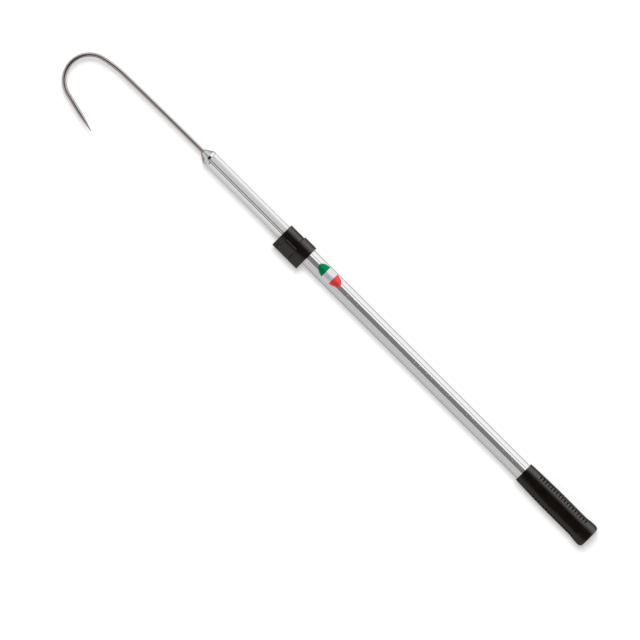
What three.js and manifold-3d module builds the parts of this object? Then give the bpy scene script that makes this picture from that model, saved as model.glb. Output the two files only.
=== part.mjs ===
// Telescopic fishing gaff: a wire hook on a thin tube that slides, turns and locks in a handle tube.
// Millimetres. The origin is the centre of the butt's flat face, +X runs along the tubes to the
// hook, +Y is the side that the hook and the clamp's lug reach to, and +Z is the lever's side.

import * as THREE from 'three';
import { mergeVertices } from 'three/addons/utils/BufferGeometryUtils.js';
import Module from 'manifold-3d';

const wasm = await Module();
wasm.setup();

// Clearances
const seatGap = 0.1;
const runningGap = 0.3;
const pinPlay = 0.1;
const cutOverrun = 4;

// Facets
const tubeSides = 64;
const gripSides = 48;
const hiddenSides = 32;
const smallSides = 24;
const wireSides = 12;
const wireSteps = 92;
const edgeSteps = 2;
const cornerSteps = 3;
const domeSteps = 4;
const gripStretchSteps = 5;

// Tubes
const outerTubeRadius = 12.5;
const outerTubeWall = 1;
const outerTubeLength = 537.9;
const tubeSlideGap = 0.5;
const innerTubeWall = 1.2;
const innerTubeLength = 502;
const innerTubeShown = 137.8;
const outerBore = outerTubeRadius - outerTubeWall;
const innerTubeRadius = outerBore - tubeSlideGap;
const innerBore = innerTubeRadius - innerTubeWall;

// Grip
const gripLength = 123.7;
const gripButtWall = 4;
const gripMouthWall = 1.75;
const gripMouthDish = 1.3;
const gripSwellWall = 3.25;
const gripNeckWall = 3.15;
const gripFlareWall = 4.7;
const gripCornerRadius = 5.2;
const gripFlareEnd = 9;
const gripNeckStation = 24;
const gripSwellStation = 66;
const gripTaperPower = 1.5;
const gripBore = outerTubeRadius + seatGap;
const gripFlareRadius = gripBore + gripFlareWall;

// Slots moulded in rows along the grip, two rows on each half of the mould
const slotWidth = 1.5;
const slotAcross = 6.4;
const slotDepth = 2;
const slotPitch = 4.86;
const slotRowStart = 18.8;
const slotRowLength = 83;
const bandTurn = THREE.MathUtils.degToRad(11);
const slotSpread = THREE.MathUtils.degToRad(57);

// Flat panel between the slot rows, one on each half of the mould
const panelRear = 15.5;
const panelLength = 92.5;
const panelHalfWidth = 5.6;
const panelRound = 2;
const panelTurn = THREE.MathUtils.degToRad(8);

// Plug in the rear end of the handle tube
const buttPlugFlange = 1.5;
const buttPlugLength = 20;
const buttPlugWall = 2.4;
const buttPlugInset = 0.3;
const buttPlugStart = gripButtWall + seatGap;
const buttPlugShoulder = buttPlugStart + buttPlugFlange;
const buttPlugEnd = buttPlugShoulder + buttPlugLength;
const outerTubeStart = buttPlugShoulder + seatGap;
const outerTubeEnd = outerTubeStart + outerTubeLength;

// Clamp collar
const collarPlay = 0.1;
const collarSocketDepth = 17.4;
const collarLength = 45;
const collarRearLength = 20.8;
const collarRearWall = 2.9;
const collarFrontWall = 2.6;
const collarEdge = 0.8;
const collarShoulder = outerTubeEnd + seatGap;
const collarRear = collarShoulder - collarSocketDepth;
const collarFront = collarRear + collarLength;
const collarStep = collarRear + collarRearLength;
const collarRearRadius = outerTubeRadius + seatGap + collarRearWall;
const collarFrontBore = innerTubeRadius + collarPlay;
const collarFrontRadius = collarFrontBore + collarFrontWall;

// Cam lever, its pin and the shoe that it presses on the inner tube
const leverStation = 17.7;
const leverLength = 18.4;
const leverLipReach = 3.6;
const leverLipRadius = 1.1;
const leverGrooveRadius = 0.4;
const leverUnderside = 0.8;
const leverNose = 4.9;
const camRadius = 3.8;
const camThrow = 0.6;
const camWellGap = 0.4;
const wedgeSetback = 1;
const pinRadius = 1.5;
const pinRearGrip = 14;
const shoeThickness = 1.6;
const shoeHalfWidth = 3.6;
const shoeLength = 11.4;
const leverRear = collarRear + leverStation;
const leverFront = leverRear + leverLength;
const pinReach = innerTubeRadius + 2 * runningGap + shoeThickness + camRadius + camThrow;
const lugReach = pinReach + leverNose;
const lugEdgeThickness = 7;
const lugRoundExtra = 0.4;
const lugRound = collarEdge + lugRoundExtra;
const shoeBack = innerTubeRadius + runningGap + shoeThickness;

// Rivet under the collar
const rivetStation = 7.7;
const rivetRadius = 1.5;
const rivetHeadRadius = 2.9;
const rivetHeadHeight = 1.3;
const rivetRecess = 0.9;

// Nose plug
const noseSpigotLength = 22;
const noseRimLength = 3.5;
const noseRimInset = 0.4;
const noseConeLength = 10.6;
const noseTipWall = 0.8;

// Hook wire, with the bends from the tail to the point
const wireRadius = 3;
const wirePlay = 0.15;
const hookTailSpare = 2.5;
const shankStraight = 22.2;
const shankBowRadius = 7950;
const shankBowTurn = THREE.MathUtils.degToRad(1.2);
const leadBendRadius = 177;
const leadBendTurn = THREE.MathUtils.degToRad(12.12);
const roundBendRadius = 33.95;
const roundBendTurn = THREE.MathUtils.degToRad(153.58);
const pointLeg = 57.8;
const pointTaper = 25;
const pointTipRadius = 0.3;
const pointFullness = 0.8;

// Washer and nut on the hook's tail
const washerRadius = 8.4;
const washerThickness = 1.6;
const nutAcrossFlats = 10;
const nutThickness = 5;

// Headed pin through the tube into the nose plug, and the flush pin into the guide plug
const crossPinRadius = 1;
const crossPinLength = 4.6;
const crossPinHeadRadius = 1.6;
const crossPinHeadHeight = 0.4;
const nosePinSetback = 2.9;
const nosePinTurn = THREE.MathUtils.degToRad(27);
const guidePinSetback = 12;
const flushInset = 0.2;

// Guide plug in the inner tube's rear end, with its two split rings
const guideSpigotLength = 25;
const guideFlange = 1.5;
const guideBodyLength = 50;
const guideLandInset = 0.4;
const guideBoreRadius = 6;
const guideLand = 3;
const ringWidth = 6;
const ringDepth = 1.6;
const ringPlay = 0.08;
const ringSplit = 1.6;

// Oval sticker on the handle tube
const labelLength = 39.3;
const labelWrap = THREE.MathUtils.degToRad(92);
const labelTurn = THREE.MathUtils.degToRad(14);
const labelThickness = 0.25;
const labelSeat = 0.04;
const labelFromCollar = 17.9;
const labelPoints = 40;

const innerTubeEnd = collarFront + innerTubeShown;
const innerTubeStart = innerTubeEnd - innerTubeLength;
const noseSpigotEnd = innerTubeEnd - noseSpigotLength;
const washerBack = noseSpigotEnd - seatGap - washerThickness;
const nutBack = washerBack - seatGap - nutThickness;
const hookTail = nutBack - hookTailSpare;

// Materials
function material(color, roughness, metalness) {
  return new THREE.MeshStandardMaterial({ color, roughness, metalness });
}

const bareAluminium = material(0xd9dadb, 0.3, 1);
const stainlessWire = material(0x8f8f8f, 0.25, 1);
const turnedSteel = material(0xc9cbcc, 0.2, 1);
const blackNylon = material(0x1d1e20, 0.5, 0);
const gripRubber = material(0x1a1b1d, 0.6, 0);
const whiteNylon = material(0xe9e8e2, 0.5, 0);
const stickerWhite = material(0xf2f3f2, 0.45, 0);

// Shape helpers
const alongX = new THREE.Matrix4().makeBasis(
  new THREE.Vector3(0, 1, 0),
  new THREE.Vector3(0, 0, 1),
  new THREE.Vector3(1, 0, 0),
);

// A round solid about the X axis. The profile lists [station, radius] with its outside running to +X.
function turned(profile, sides) {
  const points = profile.map(([station, radius]) => new THREE.Vector2(radius, station));
  const geometry = new THREE.LatheGeometry(points, sides);
  geometry.rotateZ(-Math.PI / 2);
  return geometry;
}

function rod(from, to, radius, sides) {
  return turned([[from, 0], [from, radius], [to, radius], [to, 0]], sides);
}

function sleeve(from, to, bore, radius, sides) {
  return turned([[from, bore], [from, radius], [to, radius], [to, bore], [from, bore]], sides);
}

// A solid with one outline in Y and Z, along X, with rounded rims where an edge is given.
function prism(outline, from, to, edge = 0, holes = []) {
  const shape = new THREE.Shape(outline);
  shape.holes = holes.map((hole) => new THREE.Path(hole));
  const geometry = new THREE.ExtrudeGeometry(shape, {
    depth: to - from - 2 * edge,
    bevelEnabled: edge > 0,
    bevelThickness: edge,
    bevelSize: edge,
    bevelOffset: -edge,
    bevelSegments: edgeSteps,
  });
  geometry.translate(0, 0, from + edge);
  geometry.applyMatrix4(alongX);
  return geometry;
}

function block(fromX, toX, fromY, toY, fromZ, toZ) {
  const geometry = new THREE.BoxGeometry(toX - fromX, toY - fromY, toZ - fromZ);
  geometry.translate((fromX + toX) / 2, (fromY + toY) / 2, (fromZ + toZ) / 2);
  return geometry;
}

// A block with a rounded rectangle in X and Y, from one height to another
function pocket(fromX, toX, halfY, fromZ, toZ, round) {
  const sides = [[toX, -halfY], [toX, halfY], [fromX, halfY], [fromX, -halfY]];
  const corners = sides.map(([x, y]) => new THREE.Vector2(x, y));
  const outline = corners.flatMap((corner, i) => {
    const before = corners[(i + corners.length - 1) % corners.length];
    const after = corners[(i + 1) % corners.length];
    return roundedCorner(before, corner, after, round, cornerSteps);
  });
  const geometry = new THREE.ExtrudeGeometry(new THREE.Shape(outline), {
    depth: toZ - fromZ,
    bevelEnabled: false,
  });
  geometry.translate(0, 0, fromZ);
  return geometry;
}

function arc(centreY, centreZ, radius, from, to, steps) {
  const points = [];
  for (let i = 0; i <= steps; i += 1) {
    const angle = from + (to - from) * i / steps;
    const point = new THREE.Vector2(Math.cos(angle), Math.sin(angle));
    points.push(point.multiplyScalar(radius).add(new THREE.Vector2(centreY, centreZ)));
  }
  return points;
}

// Points round a convex corner of an outline, run counter-clockwise.
function roundedCorner(before, corner, after, radius, steps) {
  const back = before.clone().sub(corner).normalize();
  const ahead = after.clone().sub(corner).normalize();
  const half = Math.acos(back.dot(ahead)) / 2;
  const centre = back.clone().add(ahead).setLength(radius / Math.sin(half)).add(corner);
  const first = corner.clone().addScaledVector(back, radius / Math.tan(half)).sub(centre).angle();
  const sweep = Math.PI - 2 * half;
  return arc(centre.x, centre.y, radius, first, first + sweep, steps);
}

// Solids that can be cut and joined
function solid(geometry) {
  const bare = geometry.clone();
  bare.deleteAttribute('normal');
  bare.deleteAttribute('uv');
  const merged = mergeVertices(bare);
  const corners = merged.index.array;
  const kept = [];
  for (let i = 0; i < corners.length; i += 3) {
    const [a, b, c] = corners.slice(i, i + 3);
    if (a !== b && b !== c && c !== a) {
      kept.push(a, b, c);
    }
  }
  return new wasm.Manifold(new wasm.Mesh({
    numProp: 3,
    vertProperties: merged.attributes.position.array,
    triVerts: new Uint32Array(kept),
  }));
}

function cut(body, cutters) {
  return cutters.reduce((left, cutter) => left.subtract(solid(cutter)), body);
}

function shell(body) {
  const mesh = body.getMesh();
  const geometry = new THREE.BufferGeometry();
  geometry.setAttribute('position', new THREE.BufferAttribute(mesh.vertProperties, 3));
  geometry.setIndex(new THREE.BufferAttribute(mesh.triVerts, 1));
  geometry.computeVertexNormals();
  return geometry;
}

// Grip: wall added to the bore at each station, from the butt's flare to the thin mouth
function gripRadiusAt(station) {
  if (station <= gripFlareEnd) {
    return gripFlareRadius;
  }
  if (station <= gripNeckStation) {
    const share = THREE.MathUtils.smoothstep(station, gripFlareEnd, gripNeckStation);
    return gripBore + THREE.MathUtils.lerp(gripFlareWall, gripNeckWall, share);
  }
  if (station <= gripSwellStation) {
    const share = THREE.MathUtils.smoothstep(station, gripNeckStation, gripSwellStation);
    return gripBore + THREE.MathUtils.lerp(gripNeckWall, gripSwellWall, share);
  }
  const share = ((station - gripSwellStation) / (gripLength - gripSwellStation)) ** gripTaperPower;
  return gripBore + THREE.MathUtils.lerp(gripSwellWall, gripMouthWall, share);
}

function gripProfile() {
  const cornerCentre = gripFlareRadius - gripCornerRadius;
  const round = gripCornerRadius;
  const corner = arc(round, cornerCentre, round, Math.PI, Math.PI / 2, gripStretchSteps);
  const profile = [[0, 0], ...corner.map((point) => [point.x, point.y])];
  const stretches = [
    [gripFlareEnd, gripNeckStation, gripStretchSteps],
    [gripNeckStation, gripSwellStation, edgeSteps],
    [gripSwellStation, gripLength, gripStretchSteps],
  ];
  for (const [from, to, steps] of stretches) {
    for (let i = 0; i < steps; i += 1) {
      const station = from + (to - from) * i / steps;
      profile.push([station, gripRadiusAt(station)]);
    }
  }
  profile.push([gripLength, gripRadiusAt(gripLength)]);
  profile.push([gripLength - gripMouthDish, gripBore]);
  profile.push([gripButtWall, gripBore]);
  profile.push([gripButtWall, 0]);
  return profile;
}

function gripSlots() {
  const slots = [];
  const count = Math.floor(slotRowLength / slotPitch) + 1;
  for (const turn of [slotSpread, -slotSpread, Math.PI - slotSpread, Math.PI + slotSpread]) {
    for (let i = 0; i < count; i += 1) {
      const station = slotRowStart + i * slotPitch;
      const slot = new THREE.BoxGeometry(slotWidth, slotAcross, 2 * slotDepth);
      slot.translate(station, 0, gripRadiusAt(station));
      slot.rotateX(turn - bandTurn);
      slots.push(slot);
    }
  }
  return slots;
}

// The panels lie flat across the swell, and their rear ends run into the flare
function gripPanels() {
  const height = Math.sqrt((gripBore + gripSwellWall) ** 2 - panelHalfWidth ** 2);
  const above = gripFlareRadius + cutOverrun;
  const panelFront = panelRear + panelLength;
  return [0, Math.PI].map((half) => {
    const panel = pocket(panelRear, panelFront, panelHalfWidth, height, above, panelRound);
    panel.rotateX(half - panelTurn);
    return panel;
  });
}

function grip() {
  return shell(cut(solid(turned(gripProfile(), gripSides)), [...gripSlots(), ...gripPanels()]));
}

// Butt plug: a cup in the tube's rear end that stops the inner tube
function buttPlug() {
  const flangeRadius = outerTubeRadius - buttPlugInset;
  const spigot = outerBore - seatGap;
  const cup = spigot - buttPlugWall;
  return turned([
    [buttPlugStart, cup],
    [buttPlugStart, flangeRadius],
    [buttPlugShoulder, flangeRadius],
    [buttPlugShoulder, spigot],
    [buttPlugEnd, spigot],
    [buttPlugEnd, 0],
    [buttPlugEnd - buttPlugWall, 0],
    [buttPlugEnd - buttPlugWall, cup],
    [buttPlugStart, cup],
  ], hiddenSides);
}

// Handle tube, drilled underneath for the collar's rivet
function outerTube() {
  const tube = sleeve(outerTubeStart, outerTubeEnd, outerBore, outerTubeRadius, tubeSides);
  return shell(cut(solid(tube), [rivetHole()]));
}

// Stands a round solid upright at the rivet's station, its stations becoming heights
function atRivet(geometry) {
  geometry.rotateY(-Math.PI / 2);
  geometry.translate(collarRear + rivetStation, 0, 0);
  return geometry;
}

function rivetHole() {
  const below = -outerTubeRadius - cutOverrun;
  return atRivet(rod(below, cutOverrun - outerBore, rivetRadius + runningGap, smallSides));
}

function rivetSeat() {
  const below = -collarRearRadius - cutOverrun;
  return atRivet(rod(below, rivetRecess - collarRearRadius, rivetHeadRadius + runningGap, smallSides));
}

// Domed rivet: its head lies in the recess and its shank ends flush with the tube's bore
function collarRivet() {
  const headFace = rivetRecess - collarRearRadius - seatGap;
  const profile = [];
  for (let i = 0; i <= domeSteps; i += 1) {
    const angle = Math.PI / 2 * i / domeSteps;
    profile.push([headFace - rivetHeadHeight * Math.cos(angle), rivetHeadRadius * Math.sin(angle)]);
  }
  profile.push([headFace, rivetRadius], [-outerBore, rivetRadius], [-outerBore, 0]);
  return atRivet(turned(profile, smallSides));
}

// Collar's cross-section: a circle drawn out by two tangents to the lug's narrow edge
function teardrop(radius) {
  const upper = new THREE.Vector2(lugReach, lugEdgeThickness / 2);
  const lower = new THREE.Vector2(lugReach, -lugEdgeThickness / 2);
  const touch = upper.angle() + Math.acos(radius / upper.length());
  const crown = arc(0, 0, radius, touch, 2 * Math.PI - touch, tubeSides / 2);
  return [
    ...roundedCorner(crown[crown.length - 1], lower, upper, lugRound, cornerSteps),
    ...roundedCorner(lower, upper, crown[0], lugRound, cornerSteps),
    ...crown,
  ];
}

function leverPinRod(radius, from, to) {
  const pin = rod(from, to, radius, smallSides);
  pin.translate(0, pinReach, 0);
  return pin;
}

// The well that the lever fills: above the front ring, round the cam, and all of the lug's nose
function leverWells() {
  const rear = leverRear - runningGap;
  const front = leverFront + runningGap;
  const far = lugReach + cutOverrun;
  const over = block(rear, front, leverLipReach - 2 * runningGap, far, 0, far);
  const frontRing = rod(rear - cutOverrun, front + cutOverrun, collarFrontRadius, tubeSides);
  const flank = shell(cut(solid(over), [frontRing]));
  const camWell = leverPinRod(camThrow + camRadius + camWellGap, rear, front);
  const noseWell = block(rear, front, pinReach - wedgeSetback, far, -far, far);
  return [flank, camWell, noseWell];
}

function shoeWindow() {
  const middle = (leverRear + leverFront) / 2;
  const half = shoeLength / 2 + runningGap;
  const side = shoeHalfWidth + runningGap;
  const inside = collarFrontBore - shoeThickness;
  return block(middle - half, middle + half, inside, pinReach - camRadius, -side, side);
}

function clampCollar() {
  const rearBlock = solid(prism(teardrop(collarRearRadius), collarRear, collarStep, collarEdge));
  const frontBlock = solid(prism(teardrop(collarFrontRadius), collarShoulder, collarFront, collarEdge));
  const socket = rod(collarRear - cutOverrun, collarShoulder, outerTubeRadius + seatGap, tubeSides);
  const bore = rod(collarShoulder - cutOverrun, collarFront + cutOverrun, collarFrontBore, tubeSides);
  const pinHoleRear = leverRear - pinRearGrip - runningGap;
  const pinHole = leverPinRod(pinRadius + pinPlay, pinHoleRear, collarFront + cutOverrun);
  const cutters = [socket, bore, pinHole, ...leverWells(), shoeWindow(), rivetHole(), rivetSeat()];
  return shell(cut(rearBlock.add(frontBlock), cutters));
}

// Lever: flush with the rear block, with a finger lip on its free edge and the cam round its pin
function clampLever() {
  const far = lugReach + cutOverrun;
  const behind = leverRear - cutOverrun;
  const ahead = leverFront + cutOverrun;
  const profile = solid(prism(teardrop(collarRearRadius), leverRear, leverFront));
  const keep = solid(block(behind, ahead, leverLipReach, far, leverUnderside, far));
  const underside = rod(behind, ahead, collarFrontRadius + runningGap, tubeSides);
  const plate = cut(profile.intersect(keep), [underside]);

  const lip = rod(leverRear, leverFront, leverLipRadius, smallSides);
  const lipAngle = Math.acos((leverLipReach + leverLipRadius) / collarRearRadius);
  const lipCentre = collarRearRadius - leverLipRadius / 2;
  lip.translate(0, lipCentre * Math.cos(lipAngle), lipCentre * Math.sin(lipAngle));

  const groove = rod(behind, ahead, leverGrooveRadius, smallSides);
  const grooveAngle = lipAngle - (leverLipRadius + leverGrooveRadius) / collarRearRadius;
  groove.translate(0, collarRearRadius * Math.cos(grooveAngle), collarRearRadius * Math.sin(grooveAngle));

  const cam = rod(leverRear, leverFront, camRadius, gripSides);
  cam.translate(0, pinReach - camThrow, 0);

  const pinHole = leverPinRod(pinRadius + pinPlay, behind, ahead);
  return shell(cut(plate.add(solid(lip)).add(solid(cam)), [groove, pinHole]));
}

function leverPin() {
  return leverPinRod(pinRadius, leverRear - pinRearGrip, collarFront - seatGap);
}

// Shoe: curved to the inner tube, flat where the cam presses it
function clampShoe() {
  const middle = (leverRear + leverFront) / 2;
  const from = middle - shoeLength / 2;
  const to = middle + shoeLength / 2;
  const blank = block(from, to, 0, shoeBack, -shoeHalfWidth, shoeHalfWidth);
  const saddle = rod(from - cutOverrun, to + cutOverrun, innerTubeRadius + runningGap, tubeSides);
  return shell(cut(solid(blank), [saddle]));
}

// Stands a round solid upright at a station along the tube and turns it towards +Y
function atTubeSide(geometry, station, turn) {
  geometry.rotateY(-Math.PI / 2);
  geometry.rotateX(-turn);
  geometry.translate(station, 0, 0);
  return geometry;
}

function crossPinHole(station, turn) {
  const from = innerTubeRadius - crossPinLength - runningGap;
  const to = innerTubeRadius + cutOverrun;
  return atTubeSide(rod(from, to, crossPinRadius + runningGap, smallSides), station, turn);
}

function nosePinHole() {
  return crossPinHole(innerTubeEnd - nosePinSetback, nosePinTurn);
}

function guidePinHole() {
  return crossPinHole(innerTubeStart + guidePinSetback, 0);
}

// Pin with a low domed head on the tube
function nosePin() {
  const headFoot = innerTubeRadius + seatGap;
  const foot = innerTubeRadius - crossPinLength;
  const profile = [[foot, 0], [foot, crossPinRadius], [headFoot, crossPinRadius]];
  for (let i = 0; i <= domeSteps; i += 1) {
    const angle = Math.PI / 2 * i / domeSteps;
    profile.push([headFoot + crossPinHeadHeight * Math.sin(angle), crossPinHeadRadius * Math.cos(angle)]);
  }
  return atTubeSide(turned(profile, smallSides), innerTubeEnd - nosePinSetback, nosePinTurn);
}

// Pin without a head, which clears the handle tube's bore
function guidePin() {
  const from = innerTubeRadius - crossPinLength;
  const to = innerTubeRadius - flushInset;
  return atTubeSide(rod(from, to, crossPinRadius, smallSides), innerTubeStart + guidePinSetback, 0);
}

function innerTube() {
  const tube = sleeve(innerTubeStart, innerTubeEnd, innerBore, innerTubeRadius, tubeSides);
  return shell(cut(solid(tube), [nosePinHole(), guidePinHole()]));
}

// Nose plug: spigot in the tube, rim against the tube's end, and a cone down to the wire
function noseCone() {
  const rimStart = innerTubeEnd + seatGap;
  const rimEnd = innerTubeEnd + noseRimLength;
  const coneEnd = rimEnd + noseConeLength;
  const rimRadius = innerTubeRadius - noseRimInset;
  const bore = wireRadius + wirePlay;
  const blank = turned([
    [noseSpigotEnd, bore],
    [noseSpigotEnd, innerBore - seatGap],
    [rimStart, innerBore - seatGap],
    [rimStart, rimRadius],
    [rimEnd, rimRadius],
    [coneEnd, wireRadius + noseTipWall],
    [coneEnd, bore],
    [noseSpigotEnd, bore],
  ], gripSides);
  return shell(cut(solid(blank), [nosePinHole()]));
}

// Hook's centreline: tail, bowed shank, lead bend, round bend, and the straight point leg
class HookLine extends THREE.Curve {
  constructor() {
    super();
    this.stretches = [
      { length: shankStraight, turn: 0 },
      { length: shankBowRadius * shankBowTurn, turn: shankBowTurn },
      { length: leadBendRadius * leadBendTurn, turn: leadBendTurn },
      { length: roundBendRadius * roundBendTurn, turn: roundBendTurn },
      { length: pointLeg, turn: 0 },
    ];
    this.total = this.stretches.reduce((sum, stretch) => sum + stretch.length, 0);
  }

  // Place and heading at a run along the wire
  at(run) {
    const place = new THREE.Vector3(hookTail, 0, 0);
    let heading = 0;
    let left = run;
    for (const { length, turn } of this.stretches) {
      const along = Math.min(left, length);
      const swing = turn * along / length;
      const chord = turn === 0 ? along : 2 * (length / turn) * Math.sin(swing / 2);
      place.x += chord * Math.cos(heading + swing / 2);
      place.y += chord * Math.sin(heading + swing / 2);
      heading += swing;
      left -= along;
    }
    return { place, heading };
  }

  getPoint(share, target = new THREE.Vector3()) {
    return target.copy(this.at(share * this.total).place);
  }
}

// Bent wire with its point drawn to a needle: the last stretch narrows about the leg's own line
function hook() {
  const line = new HookLine();
  const section = new THREE.Shape(arc(0, 0, wireRadius, 0, 2 * Math.PI, wireSides).slice(0, -1));
  const geometry = new THREE.ExtrudeGeometry(section, {
    steps: wireSteps,
    extrudePath: line,
  });
  const { place: tip, heading } = line.at(line.total);
  const ahead = new THREE.Vector3(Math.cos(heading), Math.sin(heading), 0);
  const positions = geometry.attributes.position;
  const vertex = new THREE.Vector3();
  for (let i = 0; i < positions.count; i += 1) {
    vertex.fromBufferAttribute(positions, i).sub(tip);
    const before = -vertex.dot(ahead);
    const aside = vertex.clone().addScaledVector(ahead, before);
    if (before < pointTaper && aside.length() < 2 * wireRadius) {
      const share = THREE.MathUtils.clamp(before / pointTaper, 0, 1) ** pointFullness;
      const radius = THREE.MathUtils.lerp(pointTipRadius, wireRadius, share);
      vertex.copy(tip).addScaledVector(ahead, -before).addScaledVector(aside, radius / wireRadius);
      positions.setXYZ(i, vertex.x, vertex.y, vertex.z);
    }
  }
  return geometry;
}

function hookWasher() {
  const washerFront = washerBack + washerThickness;
  return sleeve(washerBack, washerFront, wireRadius + wirePlay, washerRadius, hiddenSides);
}

function hookNut() {
  const corner = nutAcrossFlats / 2 / Math.cos(Math.PI / 6);
  const hexagon = arc(0, 0, corner, 0, 2 * Math.PI, 6).slice(0, -1);
  const hole = arc(0, 0, wireRadius + wirePlay, 0, 2 * Math.PI, smallSides).slice(0, -1);
  return prism(hexagon, nutBack, nutBack + nutThickness, 0, [hole]);
}

// Guide plug: spigot in the tube's rear end, flange, and a body with a groove for each ring
function grooveFront(index) {
  const body = innerTubeStart - seatGap - guideFlange;
  const last = body - guideBodyLength + guideLand + ringWidth;
  return index === 0 ? body - guideLand : last;
}

function guidePlug() {
  const flangeFront = innerTubeStart - seatGap;
  const body = flangeFront - guideFlange;
  const spigot = innerBore - seatGap;
  const land = innerTubeRadius - guideLandInset;
  const root = outerBore - ringDepth - ringPlay - pinPlay;
  const profile = [[body - guideBodyLength, guideBoreRadius], [body - guideBodyLength, land]];
  for (const index of [1, 0]) {
    const front = grooveFront(index);
    profile.push([front - ringWidth, land], [front - ringWidth, root], [front, root], [front, land]);
  }
  const spigotEnd = innerTubeStart + guideSpigotLength;
  profile.push([body, land], [body, innerTubeRadius], [flangeFront, innerTubeRadius]);
  profile.push([flangeFront, spigot], [spigotEnd, spigot], [spigotEnd, guideBoreRadius]);
  profile.push([body - guideBodyLength, guideBoreRadius]);
  return shell(cut(solid(turned(profile, hiddenSides)), [guidePinHole()]));
}

function guideRing(index) {
  const front = grooveFront(index) - seatGap;
  const back = front - ringWidth + 2 * seatGap;
  const ring = sleeve(back, front, outerBore - ringPlay - ringDepth, outerBore - ringPlay, hiddenSides);
  const lowest = index === 0 ? 0 : -outerTubeRadius;
  const highest = lowest + outerTubeRadius;
  const half = ringSplit / 2;
  const split = block(back - cutOverrun, front + cutOverrun, -half, half, lowest, highest);
  return shell(cut(solid(ring), [split]));
}

// Oval sticker wrapped on the handle tube, its outline an ellipse laid round the tube
function label() {
  const from = collarRear - labelFromCollar - labelLength;
  const middle = from + labelLength / 2;
  const inner = outerTubeRadius + labelSeat;
  const outer = inner + labelThickness;
  const outline = [];
  for (let i = 0; i < labelPoints; i += 1) {
    const angle = 2 * Math.PI * i / labelPoints;
    const wrap = labelWrap / 2 * Math.sin(angle);
    outline.push(new THREE.Vector2(labelLength / 2 * Math.cos(angle), outer * Math.sin(wrap)));
  }
  const stamp = new THREE.ExtrudeGeometry(new THREE.Shape(outline), {
    depth: outer + cutOverrun,
    bevelEnabled: false,
  });
  stamp.translate(middle, 0, 0);
  stamp.rotateX(labelTurn);
  const skin = sleeve(from - cutOverrun, from + labelLength + cutOverrun, inner, outer, tubeSides);
  return shell(solid(skin).intersect(solid(stamp)));
}

// Assembly
const gaff = new THREE.Group();

function add(parent, name, geometry, finish) {
  const mesh = new THREE.Mesh(geometry, finish);
  mesh.name = name;
  parent.add(mesh);
}

const handle = new THREE.Group();
add(handle, 'grip', grip(), gripRubber);
add(handle, 'butt_plug', buttPlug(), blackNylon);
add(handle, 'outer_tube', outerTube(), bareAluminium);
add(handle, 'tricolour_label', label(), stickerWhite);
gaff.add(handle);

const clamp = new THREE.Group();
add(clamp, 'clamp_collar', clampCollar(), blackNylon);
add(clamp, 'collar_rivet', collarRivet(), turnedSteel);
add(clamp, 'lever_pin', leverPin(), turnedSteel);
add(clamp, 'clamp_lever', clampLever(), blackNylon);
add(clamp, 'clamp_shoe', clampShoe(), whiteNylon);
gaff.add(clamp);

const extension = new THREE.Group();
add(extension, 'inner_tube', innerTube(), bareAluminium);
add(extension, 'nose_cone', noseCone(), turnedSteel);
add(extension, 'nose_pin', nosePin(), turnedSteel);
add(extension, 'hook', hook(), stainlessWire);
add(extension, 'hook_washer', hookWasher(), turnedSteel);
add(extension, 'hook_nut', hookNut(), turnedSteel);
add(extension, 'guide_plug', guidePlug(), blackNylon);
add(extension, 'guide_plug_pin', guidePin(), turnedSteel);
add(extension, 'guide_ring_front', guideRing(0), whiteNylon);
add(extension, 'guide_ring_rear', guideRing(1), whiteNylon);
gaff.add(extension);

export default gaff;
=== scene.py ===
"""Looks of a telescopic fishing gaff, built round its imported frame.

Metres, in the frame's axes: +X runs along the tubes to the hook, +Y is the side that the hook's
point and the clamp's lug reach to, and +Z is the lever's side. The origin is the centre of the
butt's flat face.
"""

import math

import bmesh
import bpy
from bpy.props import FloatProperty, FloatVectorProperty, IntProperty, PointerProperty
from mathutils import Matrix, Vector


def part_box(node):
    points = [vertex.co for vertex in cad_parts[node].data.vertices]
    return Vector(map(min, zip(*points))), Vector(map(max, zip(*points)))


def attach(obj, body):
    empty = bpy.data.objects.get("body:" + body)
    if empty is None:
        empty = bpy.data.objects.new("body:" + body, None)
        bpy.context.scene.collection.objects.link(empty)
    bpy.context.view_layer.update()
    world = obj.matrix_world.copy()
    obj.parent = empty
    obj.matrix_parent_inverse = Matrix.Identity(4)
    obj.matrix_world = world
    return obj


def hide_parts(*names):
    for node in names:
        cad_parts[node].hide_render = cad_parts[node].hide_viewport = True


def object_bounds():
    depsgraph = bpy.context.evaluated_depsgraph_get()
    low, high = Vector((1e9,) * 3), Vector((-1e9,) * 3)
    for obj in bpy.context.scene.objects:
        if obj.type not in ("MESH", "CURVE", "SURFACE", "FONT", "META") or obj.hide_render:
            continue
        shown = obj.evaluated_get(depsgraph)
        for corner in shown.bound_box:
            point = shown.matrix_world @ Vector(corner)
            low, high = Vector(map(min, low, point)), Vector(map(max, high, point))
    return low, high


bl_info = {
    "name": "Telescopic fishing gaff",
    "version": (1, 0, 0),
    "blender": (4, 5, 0),
    "location": "3D View > Sidebar > Gaff",
    "description": "Builds the visible pieces of a telescopic fishing gaff and their finishes",
    "category": "Object",
}

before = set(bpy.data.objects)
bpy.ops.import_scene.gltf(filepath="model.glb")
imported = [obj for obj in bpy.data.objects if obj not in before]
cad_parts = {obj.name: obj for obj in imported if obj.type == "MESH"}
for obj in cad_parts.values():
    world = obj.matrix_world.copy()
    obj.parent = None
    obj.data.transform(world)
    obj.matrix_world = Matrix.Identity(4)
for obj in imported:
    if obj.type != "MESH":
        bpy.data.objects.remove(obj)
cad_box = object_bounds()

MM = 0.001
OVERRUN = 4 * MM  # of the cutters, past what they cut


def near(node):
    """A frame node's lowest corner."""
    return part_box(node)[0]


def far(node):
    """A frame node's highest corner."""
    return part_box(node)[1]


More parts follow.
